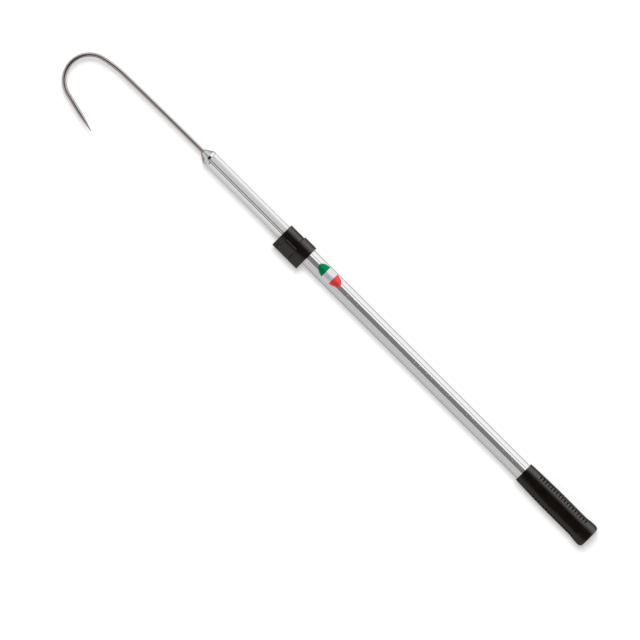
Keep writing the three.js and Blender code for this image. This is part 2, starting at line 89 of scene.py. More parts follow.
# Properties
def length(name, description, default):
    return FloatProperty(name=name, description=description, default=default, unit="LENGTH", precision=5)


def angle(name, description, degrees):
    return FloatProperty(
        name=name, description=description, default=math.radians(degrees), subtype="ANGLE", unit="ROTATION"
    )


def share(name, description, default):
    return FloatProperty(name=name, description=description, default=default, subtype="FACTOR")


def count(name, description, default):
    return IntProperty(name=name, description=description, default=default)


def colour(name, description, default):
    return FloatVectorProperty(
        name=name, description=description, default=default, subtype="COLOR", size=3, min=0, max=1
    )


class TubeSizes(bpy.types.PropertyGroup):
    handle_wall: length("Handle tube wall", "Wall of the handle tube", 1 * MM)
    sliding_wall: length("Sliding tube wall", "Wall of the sliding tube", 1.2 * MM)
    end_round: length("End rounding", "Rounding of the tubes' cut ends", 0.25 * MM)
    sides: count("Sides", "Sides of the round pieces", 192)


class GripSizes(bpy.types.PropertyGroup):
    bore: length("Bore radius", "Radius of the grip's bore", 12.6 * MM)
    butt_wall: length("Butt wall", "Thickness of the closed butt", 4 * MM)
    corner_round: length("Corner rounding", "Rounding of the butt's edge", 5.2 * MM)
    flare_end: length("Flare end", "Station where the flare starts to narrow", 9 * MM)
    neck_station: length("Neck station", "Station of the neck behind the swell", 24 * MM)
    neck_wall: length("Neck wall", "Wall at the neck", 3.3 * MM)
    swell_station: length("Swell station", "Station of the swell in the hand", 66 * MM)
    swell_wall: length("Swell wall", "Wall at the swell", 3.45 * MM)
    mouth_wall: length("Mouth wall", "Wall at the mouth", 1.95 * MM)
    mouth_dish: length("Mouth dish", "Depth of the hollow in the mouth's face", 1.3 * MM)
    mouth_round: length("Mouth rounding", "Rounding of the mouth's lip", 0.2 * MM)
    taper_power: FloatProperty(
        name="Taper power", description="How late the swell falls off to the mouth", default=1.5
    )
    slot_first: length("First slot", "Station of the slot nearest the butt", 18.8 * MM)
    slot_pitch: length("Slot pitch", "Distance from slot to slot", 4.86 * MM)
    slot_width: length("Slot width", "Width of a slot along the grip", 1.5 * MM)
    slot_across: length("Slot length", "Length of a slot round the grip", 6.4 * MM)
    slot_depth: length("Slot depth", "Depth of a slot", 2.3 * MM)
    slot_edge: length("Slot edge", "Half the width of a slot's sloping wall", 0.16 * MM)
    slot_count: count("Slots", "Slots in a row", 18)
    slot_spread: angle("Row spread", "Angle of a row from the middle of its half of the mould", 57)
    band_turn: angle("Row turn", "Turn of the two rows towards the lug's side", 11)
    panel_rear: length("Panel start", "Station where the flat panel starts", 15.5 * MM)
    panel_length: length("Panel length", "Length of the flat panel", 92.5 * MM)
    panel_half: length("Panel half width", "Half the width of the flat panel", 6.1 * MM)
    panel_round: length("Panel rounding", "Rounding of the panel's corners", 2 * MM)
    panel_turn: angle("Panel turn", "Turn of the panel towards the lug's side", 10)
    seam_width: length("Seam width", "Width of the line where the mould parts", 0.3 * MM)
    seam_height: length("Seam height", "Height of the line where the mould parts", 0.06 * MM)


class ClampSizes(bpy.types.PropertyGroup):
    rear_bore: length("Socket radius", "Radius of the socket for the handle tube", 12.6 * MM)
    front_bore: length("Front bore radius", "Radius of the bore round the sliding tube", 11.1 * MM)
    front_radius: length("Front radius", "Outside radius of the clamp's front", 13.7 * MM)
    shoulder: length("Shoulder", "Station of the shoulder that the handle tube meets", 543.7 * MM)
    step: length("Step", "Station where the rear block ends", 547.1 * MM)
    lug_edge: length("Lug edge", "Thickness of the lug's flat edge", 7 * MM)
    lug_round: length("Lug rounding", "Rounding of the lug's edges", 1.2 * MM)
    rim: length("Rim rounding", "Rounding of the blocks' end rims", 0.3 * MM)
    step_rim: length("Step rounding", "Rounding of the rear block's front rim", 0.35 * MM)
    step_line: length("Step line", "Width and depth of the line at the foot of the step", 0.3 * MM)
    fine_edge: length("Fine edge", "Rounding of all other edges", 0.22 * MM)
    gap: length("Running gap", "Gap round the shoe and under the lever", 0.3 * MM)
    rear_gap: length("Rear gap", "Gap behind the lever", 0.95 * MM)
    front_gap: length("Front gap", "Gap before the lever", 0.5 * MM)
    well_side: length("Well side gap", "Gap on both sides of the cam in its well", 0.05 * MM)
    edge_notch: length("Edge notch", "Depth of the rear gap's notch in the lug's edge", 0.4 * MM)
    flank_gap: length("Flank gap", "Gap along the lever's free edge", 1.3 * MM)
    flank_floor: length("Flank floor", "Radius of the floor of the gap along the lever", 12.75 * MM)
    pin_reach: length("Pin reach", "Distance of the lever's pin from the tubes' axis", 17.6 * MM)
    pin_radius: length("Pin radius", "Radius of the lever's pin", 1.5 * MM)
    pin_play: length("Pin play", "Radial play round the lever's pin", 0.1 * MM)
    pin_round: length("Pin rounding", "Rounding of the ends of the lever's pin", 0.3 * MM)
    cam_radius: length("Cam radius", "Radius of the lever's cam", 3.8 * MM)
    cam_throw: length("Cam throw", "Offset of the cam from the pin", 0.6 * MM)
    well_gap: length("Well gap", "Gap between the cam and its well", 0.4 * MM)
    window_root: length("Window root", "How far the shoe's window starts inside the front bore", 2 * MM)
    wedge_setback: length("Nose cut", "How far inside the pin the lug's nose is cut", 1 * MM)
    lip_reach: length("Lip reach", "Distance of the lever's free edge from the middle", 3.6 * MM)
    lip_width: length("Lip width", "Width of the raised lip along the lever's free edge", 2.5 * MM)
    lip_rise: length("Lip rise", "Height of the lip's free edge above the round", 0.5 * MM)
    lip_root: length("Lip root", "Depth of the lip in the lever's plate", 0.4 * MM)
    groove_width: length("Groove width", "Width of the groove beside the lip", 0.9 * MM)
    groove_depth: length("Groove depth", "Depth of the groove beside the lip", 1 * MM)
    underside: length("Lever underside", "Height of the lever's lower face at the lug", 0.8 * MM)
    mark_station: length("Mark station", "Station of the mould's pin mark on the front cheek", 565.9 * MM)
    mark_reach: length("Mark reach", "Reach of the mould's pin mark to the lug's side", 14.8 * MM)
    mark_radius: length("Mark radius", "Radius of the mould's pin mark", 0.8 * MM)
    mark_depth: length("Mark depth", "Depth of the mould's pin mark", 0.25 * MM)
    rivet_head: length("Rivet head radius", "Radius of the rivet's head", 2.9 * MM)
    rivet_rise: length("Rivet head height", "Height of the rivet's domed head", 1.3 * MM)
    rivet_shank: length("Rivet radius", "Radius of the rivet's shank", 1.5 * MM)
    rivet_recess: length("Rivet recess", "Depth of the recess for the rivet's head", 0.9 * MM)


class HookSizes(bpy.types.PropertyGroup):
    wire: length("Wire radius", "Radius of the hook's wire", 2.96 * MM)
    straight: length("Straight", "Straight wire from the tail", 22.2 * MM)
    bow_radius: length("Bow radius", "Radius of the shank's slight bow", 7950 * MM)
    bow_turn: angle("Bow turn", "Turn of the shank's slight bow", 1.2)
    lead_radius: length("Lead radius", "Radius of the bend that leads into the hook", 177 * MM)
    lead_turn: angle("Lead turn", "Turn of the bend that leads into the hook", 12.12)
    bend_radius: length("Bend radius", "Radius of the hook's round bend", 33.95 * MM)
    bend_turn: angle("Bend turn", "Turn of the hook's round bend", 153.58)
    point_leg: length("Point leg", "Straight leg that ends in the point", 57.8 * MM)
    taper: length("Taper", "Length of the ground point", 25 * MM)
    tip: length("Tip radius", "Radius of the point's tip", 0.25 * MM)
    fullness: FloatProperty(name="Fullness", description="How full the ground point is", default=0.8)
    spacing: length("Ring spacing", "Distance between the wire's rings", 0.9 * MM)
    sides: count("Wire sides", "Sides of the wire", 32)


class NoseSizes(bpy.types.PropertyGroup):
    spigot: length("Spigot radius", "Radius of the plug's spigot in the tube", 9.7 * MM)
    rim_inset: length("Rim inset", "How far the rim stands inside the tube's outside", 0.4 * MM)
    rim_length: length("Rim length", "Length of the rim, its gap to the tube included", 3.5 * MM)
    seat: length("Seat gap", "Gap between the tube's end and the rim", 0.35 * MM)
    bore: length("Bore radius", "Radius of the bore round the wire", 3.5 * MM)
    tip_wall: length("Tip wall", "Wall at the cone's tip", 0.3 * MM)
    edge: length("Edge rounding", "Rounding of the turned edges", 0.3 * MM)
    pin_setback: length("Pin setback", "Distance of the pin from the tube's end", 2.9 * MM)
    pin_turn: angle("Pin turn", "Turn of the pin towards the lug's side", 27)
    pin_head: length("Pin head radius", "Radius of the pin's head", 1.6 * MM)
    pin_rise: length("Pin head height", "Height of the pin's head", 0.4 * MM)
    pin_shank: length("Pin radius", "Radius of the pin's shank", 1 * MM)
    pin_seat: length("Pin seat", "Gap between the tube and the pin's head", 0.1 * MM)
    pin_foot: length("Pin depth", "Depth of the pin's foot below the tube's outside", 4.6 * MM)


class StickerSizes(bpy.types.PropertyGroup):
    wrap: angle("Wrap", "Angle that the sticker takes round the tube", 92)
    turn: angle("Turn", "Turn of its middle away from the lug's side", 14)
    seat: length("Seat", "Gap between the tube and the sticker", 0.04 * MM)
    thickness: length("Thickness", "Thickness of the sticker", 0.25 * MM)
    edge_round: length("Edge rounding", "Width of the rounded edge along the sticker", 0.3 * MM)


class Finishes(bpy.types.PropertyGroup):
    aluminium: colour("Aluminium", "Drawn tube", (0.95, 0.953, 0.96))
    steel: colour("Hook steel", "Drawn wire of the hook", (0.73, 0.69, 0.675))
    # Painted darker than the straight wire, as the bend's dark reflections
    bend_shade_steel: colour("Steel with painted bend shade", "Wire in the hook's bend", (0.62, 0.55, 0.54))
    bright: colour("Bright metal", "Turned nose plug, pins, nut and washer", (0.62, 0.625, 0.63))
    polished: colour("Polished land", "Rim of the nose plug", (0.95, 0.955, 0.96))
    nylon: colour("Black nylon", "Clamp, lever and plugs", (0.007, 0.0046, 0.0032))
    rubber: colour("Black rubber", "Grip", (0.0068, 0.0044, 0.003))
    slide: colour("Natural nylon", "Guide rings and shoe", (0.78, 0.76, 0.7))
    green: colour("Green", "Sticker's stripe at the hook's end", (0.001, 0.27, 0.095))
    white: colour("White", "Sticker's middle stripe", (0.8, 0.8, 0.82))
    red: colour("Red", "Sticker's stripe at the grip's end", (0.96, 0.08, 0.088))


class StageSettings(bpy.types.PropertyGroup):
    lens: FloatProperty(name="Lens", description="Focal length", default=1000, unit="CAMERA")
    frame_width: length("Frame width", "Width of the picture at the tubes' axis", 846.7 * MM)
    centre_x: length("Picture centre X", "Station of the picture's centre", 456 * MM)
    centre_y: length("Picture centre Y", "Reach of the picture's centre", 48.3 * MM)
    camera_turn: angle("Camera turn", "Turn of the picture about the line of sight", -135)
    floor_drop: length("Floor drop", "Gap between the lowest piece and the floor", 0.1 * MM)
    floor_half: length("Floor half width", "Half the width of the floor", 12)
    floor_tone: share("Floor tone", "Tone of the paper itself", 0.76)
    floor_glow: share("Floor glow", "What the eye and the metal see on top of the paper's tone", 0.3)
    key_tilt: angle("Key tilt", "Tilt of the key lamp from straight above", 18)
    key_size: angle("Key size", "Angle that the key lamp takes up", 26)
    key_level: FloatProperty(name="Key level", description="Strength of the key lamp", default=2.05)
    fill_level: FloatProperty(name="Fill level", description="Strength of the room's light", default=0.41)
    card_height: length("Card height", "Height of the dark ceiling card", 2.8)
    card_half: angle("Card half width", "Angle from the middle to the ceiling card's long edges", 29)
    card_end: angle("Card end", "Angle from the middle to the ceiling card's ends", 72)
    card_level: share("Card level", "Tone of the ceiling card's middle", 0.015)
    card_end_level: share("Card end level", "Tone of the ceiling card's ends", 0.6)
    card_middle: angle("Card middle", "Angle from the middle to where the ceiling card turns lighter", 25)
    wall_front: length("Wall front", "How far the grey card goes past the middle", 0.9)
    wall_reach: length("Wall reach", "Distance of the grey card on the lug's side", 1.5)
    wall_level: FloatProperty(name="Wall level", description="Tone of the grey card", default=0.55)
    near_reach: length("Near reach", "Half the width of the floor cards' strip below the object", 75 * MM)
    lug_near_level: share("Lug side near level", "Tone of the strip below the object on the lug's side", 0.5)
    lug_floor_level: share("Lug side floor level", "Tone of the floor card on the lug's side", 0.54)
    open_near_level: share("Open side near level", "Tone of the strip below the object, open side", 0.72)
    open_floor_level: share("Open side floor level", "Tone of the floor card on the open side", 0.93)


class GaffSettings(bpy.types.PropertyGroup):
    tubes: PointerProperty(type=TubeSizes)
    grip: PointerProperty(type=GripSizes)
    clamp: PointerProperty(type=ClampSizes)
    hook: PointerProperty(type=HookSizes)
    nose: PointerProperty(type=NoseSizes)
    sticker: PointerProperty(type=StickerSizes)
    finish: PointerProperty(type=Finishes)
    stage: PointerProperty(type=StageSettings)


def settings():
    return bpy.context.scene.gaff


# Node trees
class Term:
    """An output of a node, which sums can be written with."""

    def __init__(self, tree, socket):
        self.tree = tree
        self.socket = socket

    def __add__(self, other):
        return calc(self.tree, "ADD", self, other)

    def __sub__(self, other):
        return calc(self.tree, "SUBTRACT", self, other)

    def __rsub__(self, other):
        return calc(self.tree, "SUBTRACT", other, self)

    def __mul__(self, other):
        return calc(self.tree, "MULTIPLY", self, other)

    def __truediv__(self, other):
        return calc(self.tree, "DIVIDE", self, other)

    def __abs__(self):
        return calc(self.tree, "ABSOLUTE", self)

    __radd__ = __add__
    __rmul__ = __mul__


def feed(tree, value, socket):
    """Links a term or an output to a node's input, or sets the input to a plain value."""
    source = value.socket if isinstance(value, Term) else value
    if isinstance(source, bpy.types.NodeSocket):
        tree.links.new(source, socket)
    else:
        socket.default_value = source


def add(tree, kind, inputs=None, **choices):
    """A node with its choices made and its inputs fed."""
    node = tree.nodes.new(kind)
    for key, value in choices.items():
        setattr(node, key, value)
    for key, value in (inputs or {}).items():
        feed(tree, value, node.inputs[key])
    return node


def result(tree, kind, inputs=None, output=0, **choices):
    """One output of a new node, as a term."""
    return Term(tree, add(tree, kind, inputs, **choices).outputs[output])


def calc(tree, operation, *values):
    return result(tree, "ShaderNodeMath", dict(enumerate(values)), operation=operation)


def vector_calc(tree, operation, inputs):
    return result(tree, "ShaderNodeVectorMath", inputs, operation=operation)


def split(tree, place):
    """The X, Y and Z of a vector."""
    return [Term(tree, part) for part in add(tree, "ShaderNodeSeparateXYZ", {0: place}).outputs]


def joined(tree, x=0.0, y=0.0, z=0.0):
    """A vector of three numbers."""
    return result(tree, "ShaderNodeCombineXYZ", {0: x, 1: y, 2: z})


def fade(tree, value, start, end, low=0.0, high=1.0):
    """A smooth step of value from start to end."""
    inputs = {"Value": value, "From Min": start, "From Max": end, "To Min": low, "To Max": high}
    return result(tree, "ShaderNodeMapRange", inputs, interpolation_type="SMOOTHSTEP")


def mix_colour(tree, factor, first, second):
    first, second = [c if isinstance(c, Term) else (*c, 1.0) for c in (first, second)]
    return result(tree, "ShaderNodeMix", {0: factor, 6: first, 7: second}, output=2, data_type="RGBA")


def noise(tree, place, scale, detail=2.0, rough=0.5):
    inputs = {"Vector": place, "Scale": scale, "Detail": detail, "Roughness": rough}
    return result(tree, "ShaderNodeTexNoise", inputs, output="Fac")


def new_group(name, inputs, outputs, kind="ShaderNodeTree"):
    """A node group, its inputs as terms and its outputs. The dicts give each socket's kind by its label."""
    tree = bpy.data.node_groups.new(name, kind)
    for side, sockets in (("INPUT", inputs), ("OUTPUT", outputs)):
        for label, socket_kind in sockets.items():
            tree.interface.new_socket(label, in_out=side, socket_type="NodeSocket" + socket_kind)
    source = add(tree, "NodeGroupInput").outputs
    return tree, {label: Term(tree, source[label]) for label in inputs}, add(tree, "NodeGroupOutput").inputs


def use_group(tree, name, make, inputs):
    """The outputs of a shared effect, whose group is made the first time that a material asks for it."""
    group = bpy.data.node_groups.get(name) or make(name)
    node = add(tree, "ShaderNodeGroup", inputs, node_tree=group)
    return {output.name: Term(tree, output) for output in node.outputs}


# Effects that several finishes share
def drawn_lines_group(name):
    """Lines that a die leaves along a tube: they change round it and hardly along it."""
    tree, given, out = new_group(
        name, {"Place": "Vector", "Fineness": "Float"}, {"Tone": "Float", "Height": "Float"}
    )
    squeeze = 0.03
    broad_share = 0.6
    x, y, z = split(tree, given["Place"])
    round_it = vector_calc(tree, "NORMALIZE", {0: joined(tree, 0.0, y, z)})
    place = vector_calc(tree, "ADD", {0: round_it, 1: joined(tree, x * squeeze)})
    broad = noise(tree, place, given["Fineness"], 1.0)
    fine = noise(tree, place, given["Fineness"] * 5.0, 3.0, 0.7)
    both = broad * broad_share + fine * (1 - broad_share)
    feed(tree, fade(tree, both, 0.32, 0.68), out["Tone"])
    feed(tree, fine, out["Height"])
    return tree


def die_line_and_shade_group(name):
    """One dark stripe along a tube at an angle from the top, towards the lug's side: thin ones are die lines,
    wide ones painted shade and painted dark reflections.
    """
    tree, given, out = new_group(
        name, {"Place": "Vector", "Angle": "Float", "Width": "Float"}, {"Mark": "Float"}
    )
    _, y, z = split(tree, given["Place"])
    off = abs(calc(tree, "ARCTAN2", y, z) - given["Angle"])
    feed(tree, fade(tree, off, given["Width"], given["Width"] * 0.3), out["Mark"])
    return tree


def moulded_grain_group(name):
    """Fine grain of a moulded skin, and its slow changes of gloss."""
    tree, given, out = new_group(
        name, {"Place": "Vector", "Grain": "Float"}, {"Height": "Float", "Gloss": "Float"}
    )
    cloud = noise(tree, given["Place"], given["Grain"] * 0.05, 3.0)
    feed(tree, noise(tree, given["Place"], given["Grain"], 3.0, 0.6), out["Height"])
    feed(tree, fade(tree, cloud, 0.3, 0.7), out["Gloss"])
    return tree


def rub_group(name):
    """Short fine scratches along the piece, from sliding and from the hand."""
    tree, given, out = new_group(name, {"Place": "Vector", "Amount": "Float"}, {"Rub": "Float"})
    per_metre = (40.0, 900.0, 900.0)
    stretched = vector_calc(tree, "MULTIPLY", {0: given["Place"], 1: per_metre})
    scratches = fade(tree, noise(tree, stretched, 1.0), 0.6, 0.72)
    patches = fade(tree, noise(tree, given["Place"], 45.0), 0.45, 0.65)
    feed(tree, scratches * patches * given["Amount"], out["Rub"])
    return tree


def painted_sheen_group(name):
    """Painted sheen by place, standing in for how the light falls: on the flanks and, as a painted highlight,
    on a proud lip, but not in a step's corner or on the slots' floor, as painted shade.
    """
    levels = ("Open Side", "Lug Side", "Lug Rim", "Round Radius", "Corner Station", "Floor Radius")
    inputs = {"Place": "Vector", **dict.fromkeys(levels, "Float")}
    tree, given, out = new_group(name, inputs, {"Gloss": "Float"})

    # Where each part starts and where it is full, as sines of the angle from the top to the lug's side
    open_flank = (-0.22, -0.62)
    open_rim = (-0.68, -0.92)
    lug_flank = (0.22, 0.7)
    lug_rim = (0.74, 0.93)
    lip_side = (0.5, 0.4)
    corner_side = (0.1, 0.0)

    # Heights over the round and over the slots' floor, distances from the corner, and shares of gloss
    lip_rise = (0.02 * MM, 0.2 * MM)
    corner_reach = (0.2 * MM, 1.1 * MM)
    floor_fade = 0.4 * MM
    open_rim_share = 0.08
    lip_highlight = 0.6
    corner_share = 0.2

    x, y, z = split(tree, given["Place"])
    radius = calc(tree, "SQRT", y * y + z * z)
    lean = y / radius
    # Painted sheen on the flanks, stronger on the open side and weaker at the rims, as the light falls
    at_open_rim = fade(tree, lean, *open_rim, 1.0, open_rim_share)
    open_side = fade(tree, lean, *open_flank) * given["Open Side"] * at_open_rim
    at_lug_rim = fade(tree, lean, *lug_rim, 1.0, given["Lug Rim"])
    lug_side = fade(tree, lean, *lug_flank) * given["Lug Side"] * at_lug_rim
    # Painted highlight on a proud lip
    above_round = radius - given["Round Radius"]
    lip = fade(tree, above_round, *lip_rise) * fade(tree, lean, *lip_side, 0.0, lip_highlight)
    # Painted shade: less sheen in a step's corner, and none on the slots' floor
    in_corner = 1 - fade(tree, abs(x - given["Corner Station"]), *corner_reach, corner_share, 1.0)
    kept = 1 - in_corner * fade(tree, lean, *corner_side)
    above_floor = fade(tree, radius, given["Floor Radius"], given["Floor Radius"] + floor_fade)
    feed(tree, (open_side + lug_side + lip) * kept * above_floor, out["Gloss"])
    return tree


# Finishes
def new_material(name):
    """An empty material, its tree, its shader and its object coordinates."""
    material = bpy.data.materials.new(name)
    material.use_nodes = True
    tree = material.node_tree
    return material, tree, tree.nodes["Principled BSDF"], result(tree, "ShaderNodeTexCoord", output="Object")


def dress(tree, shader, values):
    """Feeds the shader's inputs by their labels."""
    for label, value in values.items():
        feed(tree, value, shader.inputs[label])


def bump(tree, height, depth, strength):
    return result(tree, "ShaderNodeBump", {"Height": height, "Distance": depth, "Strength": strength})


def darker(colour_value, factor):
    return tuple(factor * part for part in colour_value)


def tube_aluminium(name, metallic, roughness, fineness, depth, lines_and_painted_shade):
    """Drawn aluminium. The list of stripes gives each one's angle, width and darkness: die lines, and painted
    shade and painted dark reflections.
    """
    material, tree, shader, place = new_material(name)
    base = settings().finish.aluminium
    lines = use_group(tree, "Drawn lines", drawn_lines_group, {"Place": place, "Fineness": fineness})
    rub = use_group(tree, "Rub", rub_group, {"Place": place, "Amount": 0.15})["Rub"]
    tone = mix_colour(tree, lines["Tone"], darker(base, 0.94), base)
    # Each stripe darkens the tone: die lines, and painted shade and painted dark reflections
    for degrees, width, dark in lines_and_painted_shade:
        line = {"Place": place, "Angle": math.radians(degrees), "Width": math.radians(width)}
        mark = use_group(tree, "Die line and painted shade", die_line_and_shade_group, line)["Mark"]
        tone = mix_colour(tree, mark * dark, tone, darker(base, 0.12))
    dress(tree, shader, {
        "Base Color": tone,
        "Roughness": roughness - lines["Tone"] * 0.06 + rub * 0.2,
        "Metallic": metallic,
        "Normal": bump(tree, lines["Height"], depth, 0.5),
    })
    return material


def hook_steel(depth=0.008 * MM):
    """Bright wire, painted darker and made rougher in its bend as a painted dark reflection. Its fine lines
    follow the bends.
    """
    material, tree, shader, place = new_material("Hook steel")
    base = settings().finish.steel
    bend_shade = settings().finish.bend_shade_steel
    wire_place = result(tree, "ShaderNodeAttribute", output="Vector", attribute_name="wire_place")
    lines = use_group(tree, "Drawn lines", drawn_lines_group, {"Place": wire_place, "Fineness": 9.0})
    bend_end = far("hook").x
    bend_shade_start = 52 * MM
    bend_shade_full = 24 * MM
    # Painted dark reflection: the bend is darker and rougher
    in_bend = fade(tree, split(tree, place)[0], bend_end - bend_shade_start, bend_end - bend_shade_full)
    tone = mix_colour(tree, in_bend, base, bend_shade)
    dress(tree, shader, {
        "Base Color": mix_colour(tree, lines["Tone"], darker(bend_shade, 0.8), tone),
        "Roughness": 0.06 - lines["Tone"] * 0.02 + in_bend * 0.26,
        "Metallic": 1.0,
        "Normal": bump(tree, lines["Height"], depth, 0.3),
    })
    return material


def bright_metal(name="Bright turned metal", land=None, depth=0.015 * MM):
    """Turned metal with the lathe tool's fine rings. Behind the land's station it is polished, and its last
    stretch at the tip is painted dark as shade round the wire.
    """
    material, tree, shader, place = new_material(name)
    base = settings().finish.bright
    station = split(tree, place)[0]
    ring_inputs = {"W": station, "Scale": 5200.0, "Detail": 2.0}
    rings = result(tree, "ShaderNodeTexNoise", ring_inputs, output="Fac", noise_dimensions="1D")
    cloud = fade(tree, noise(tree, place, 260.0), 0.3, 0.7)
    tone = mix_colour(tree, cloud, darker(base, 0.88), base)
    rough = rings * 0.08 + 0.06
    if land is not None:
        soft = 0.1 * MM
        tip_shade_start = 1.3 * MM
        tip_shade_full = 0.7 * MM
        tip = far("nose_cone").x
        cone = fade(tree, station, land - soft, land + soft)
        # Painted shade round the wire at the cone's tip
        tip_shade = fade(tree, station, tip - tip_shade_start, tip - tip_shade_full)
        tone = mix_colour(tree, cone, settings().finish.polished, tone)
        tone = mix_colour(tree, tip_shade, tone, darker(base, 0.3))
        rough = cone * 0.1 + rough
    dress(tree, shader, {
        "Base Color": tone,
        "Roughness": rough,
        "Metallic": 1.0,
        "Specular Tint": (0.3, 0.3, 0.3, 1),
        "Normal": bump(tree, rings, depth, 0.3),
    })
    return material


def black_moulding(name, base, roughness, specular, painted_sheen_levels, grain, depth, rub_amount):
    """Black moulded nylon or rubber with fine grain, uneven gloss, a painted sheen on its flanks as the light
    falls, and a little rubbing.
    """
    material, tree, shader, place = new_material(name)
    skin = use_group(tree, "Moulded grain", moulded_grain_group, {"Place": place, "Grain": grain})
    rub = use_group(tree, "Rub", rub_group, {"Place": place, "Amount": rub_amount})["Rub"]
    # The coat's weight carries a painted sheen by side, standing in for how the light falls
    painted_flank_sheen = use_group(tree, "Painted flank sheen", painted_sheen_group, {"Place": place, **painted_sheen_levels})["Gloss"]
    tone = mix_colour(tree, skin["Gloss"], darker(base, 0.75), base)
    dress(tree, shader, {
        "Base Color": mix_colour(tree, rub, tone, (0.05, 0.05, 0.05)),
        "Roughness": skin["Gloss"] * 0.07 + roughness + rub * 0.3,
        "Coat Weight": painted_flank_sheen,
        "Coat Roughness": roughness,
        "Coat IOR": 1.8,
        "Specular IOR Level": specular,
        "Normal": bump(tree, skin["Height"], depth, 0.5),
    })
    return material


def natural_nylon(depth=0.02 * MM):
    material, tree, shader, place = new_material("Natural nylon")
    base = settings().finish.slide
    skin = use_group(tree, "Moulded grain", moulded_grain_group, {"Place": place, "Grain": 1200.0})
    dress(tree, shader, {
        "Base Color": mix_colour(tree, skin["Gloss"], darker(base, 0.93), base),
        "Roughness": skin["Gloss"] * 0.1 + 0.42,
        "Subsurface Weight": 0.1,
        "Normal": bump(tree, skin["Height"], depth, 0.4),
    })
    return material


def sticker_vinyl(middle, length_along, depth=0.01 * MM):
    """Printed vinyl: three equal stripes across the tube, green at the hook's end."""
    material, tree, shader, place = new_material("Sticker vinyl")
    finish = settings().finish
    station = split(tree, place)[0]
    soft = 0.06 * MM
    half_stripe = length_along / 6
    past_red = fade(tree, station, middle - half_stripe - soft, middle - half_stripe + soft)
    past_white = fade(tree, station, middle + half_stripe - soft, middle + half_stripe + soft)
    print_grain = noise(tree, place, 3000.0)
    tone = mix_colour(tree, past_red, finish.red, finish.white)
    tone = mix_colour(tree, past_white, tone, finish.green)
    faded = mix_colour(tree, 0.06, tone, (0, 0, 0))
    dress(tree, shader, {
        "Base Color": mix_colour(tree, fade(tree, print_grain, 0.35, 0.65), tone, faded),
        "Roughness": print_grain * 0.1 + 0.25,
        "Metallic": 0.55,
        "Specular IOR Level": 0.12,
        "Normal": bump(tree, print_grain, depth, 0.3),
    })
    return material


def handle_tube_aluminium():
    # Thin die lines; the stripes at -69° and 67° darken the tube's sides as painted dark reflections
    lines_and_painted_shade = [
        (-69, 5, 0.65), (-43.5, 2.6, 0.15), (-27.7, 3.2, 0.8), (27, 3, 0.32), (45, 3.5, 0.3),
        (67, 9, 0.5), (152, 3, 0.4), (-120, 3, 0.3),
    ]
    return tube_aluminium(
        "Handle tube aluminium", metallic=0.82, roughness=0.18, fineness=11.0, depth=0.03 * MM, lines_and_painted_shade=lines_and_painted_shade
    )


def sliding_tube_aluminium():
    # Thin die lines; the wide bands at -22° and 52° darken the tube as painted shade
    lines_and_painted_shade = [
        (-60, 7, 0.32), (-22, 20, 0.4), (4.8, 4.8, 1.0), (17.5, 4.5, 0.9), (52, 24, 0.12),
        (-150, 3, 0.5), (124, 3, 0.4),
    ]
    return tube_aluminium(
        "Sliding tube aluminium", metallic=0.42, roughness=0.4, fineness=14.0, depth=0.05 * MM, lines_and_painted_shade=lines_and_painted_shade
    )


def black_nylon():
    # Painted sheen levels by side and at the lug's rim, with painted shade in the step's corner
    gloss = {
        "Open Side": 1.0,
        "Lug Side": 0.54,
        "Lug Rim": 1.0,
        "Round Radius": -near("clamp_collar").y,
        "Corner Station": settings().clamp.step,
    }
    return black_moulding(
        "Black nylon", settings().finish.nylon, roughness=0.29, specular=0.15, painted_sheen_levels=gloss,
        grain=1700.0, depth=0.02 * MM, rub_amount=0.25,
    )


def black_rubber():
    sizes = settings().grip
    floor_depth = 0.5 * MM
    # Painted sheen levels by side and at the lug's rim, with painted shade in the slots
    gloss = {
        "Open Side": 1.0,
        "Lug Side": 0.42,
        "Lug Rim": 0.1,
        "Round Radius": far("grip").y,
        "Floor Radius": sizes.bore + sizes.mouth_wall - floor_depth,
    }
    return black_moulding(
        "Black rubber", settings().finish.rubber, roughness=0.3, specular=0.08, painted_sheen_levels=gloss,
        grain=1300.0, depth=0.03 * MM, rub_amount=0.15,
    )


FINISH_MAKERS = {
    "handle tube": handle_tube_aluminium,
    "sliding tube": sliding_tube_aluminium,
    "hook_steel": hook_steel,
    "turned_steel": bright_metal,
    "clamp_nylon": black_nylon,
    "grip_rubber": black_rubber,
    "slide_nylon": natural_nylon,
}
FINISHES = {}


def finish_of(slot):
    """The material for one of the record's slots or for one tube, made once."""
    if slot not in FINISHES:
        FINISHES[slot] = FINISH_MAKERS[slot]()
    return FINISHES[slot]


# Mesh helpers
def new_piece(name, bm):
    """A smooth-shaded object from a bmesh, with its edges sharp where its faces meet steeply."""
    bmesh.ops.recalc_face_normals(bm, faces=bm.faces)
    mesh = bpy.data.meshes.new(name)
    bm.to_mesh(mesh)
    bm.free()
    piece = bpy.data.objects.new(name, mesh)
    bpy.context.scene.collection.objects.link(piece)
    smooth(piece)
    return piece


def smooth(piece, degrees=42):
    piece.data.shade_smooth()
    piece.data.set_sharp_from_angle(angle=math.radians(degrees))


def make_plain(piece):
    """Replaces a piece's mesh by what its modifiers make of it, and takes them off."""
    bpy.context.view_layer.update()
    evaluated = piece.evaluated_get(bpy.context.evaluated_depsgraph_get())
    mesh = bpy.data.meshes.new_from_object(evaluated)
    piece.modifiers.clear()
    piece.data = mesh


def settle(piece, body, slot, *nodes, material=None):
    """Gives a piece its finish, its body and the frame nodes that it stands for."""
    piece.data.materials.clear()
    piece.data.materials.append(material or finish_of(slot))
    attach(piece, body)
    if nodes:
        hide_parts(*nodes)
    return piece


def evenly(sides):
    return [2 * math.pi * i / sides for i in range(sides)]


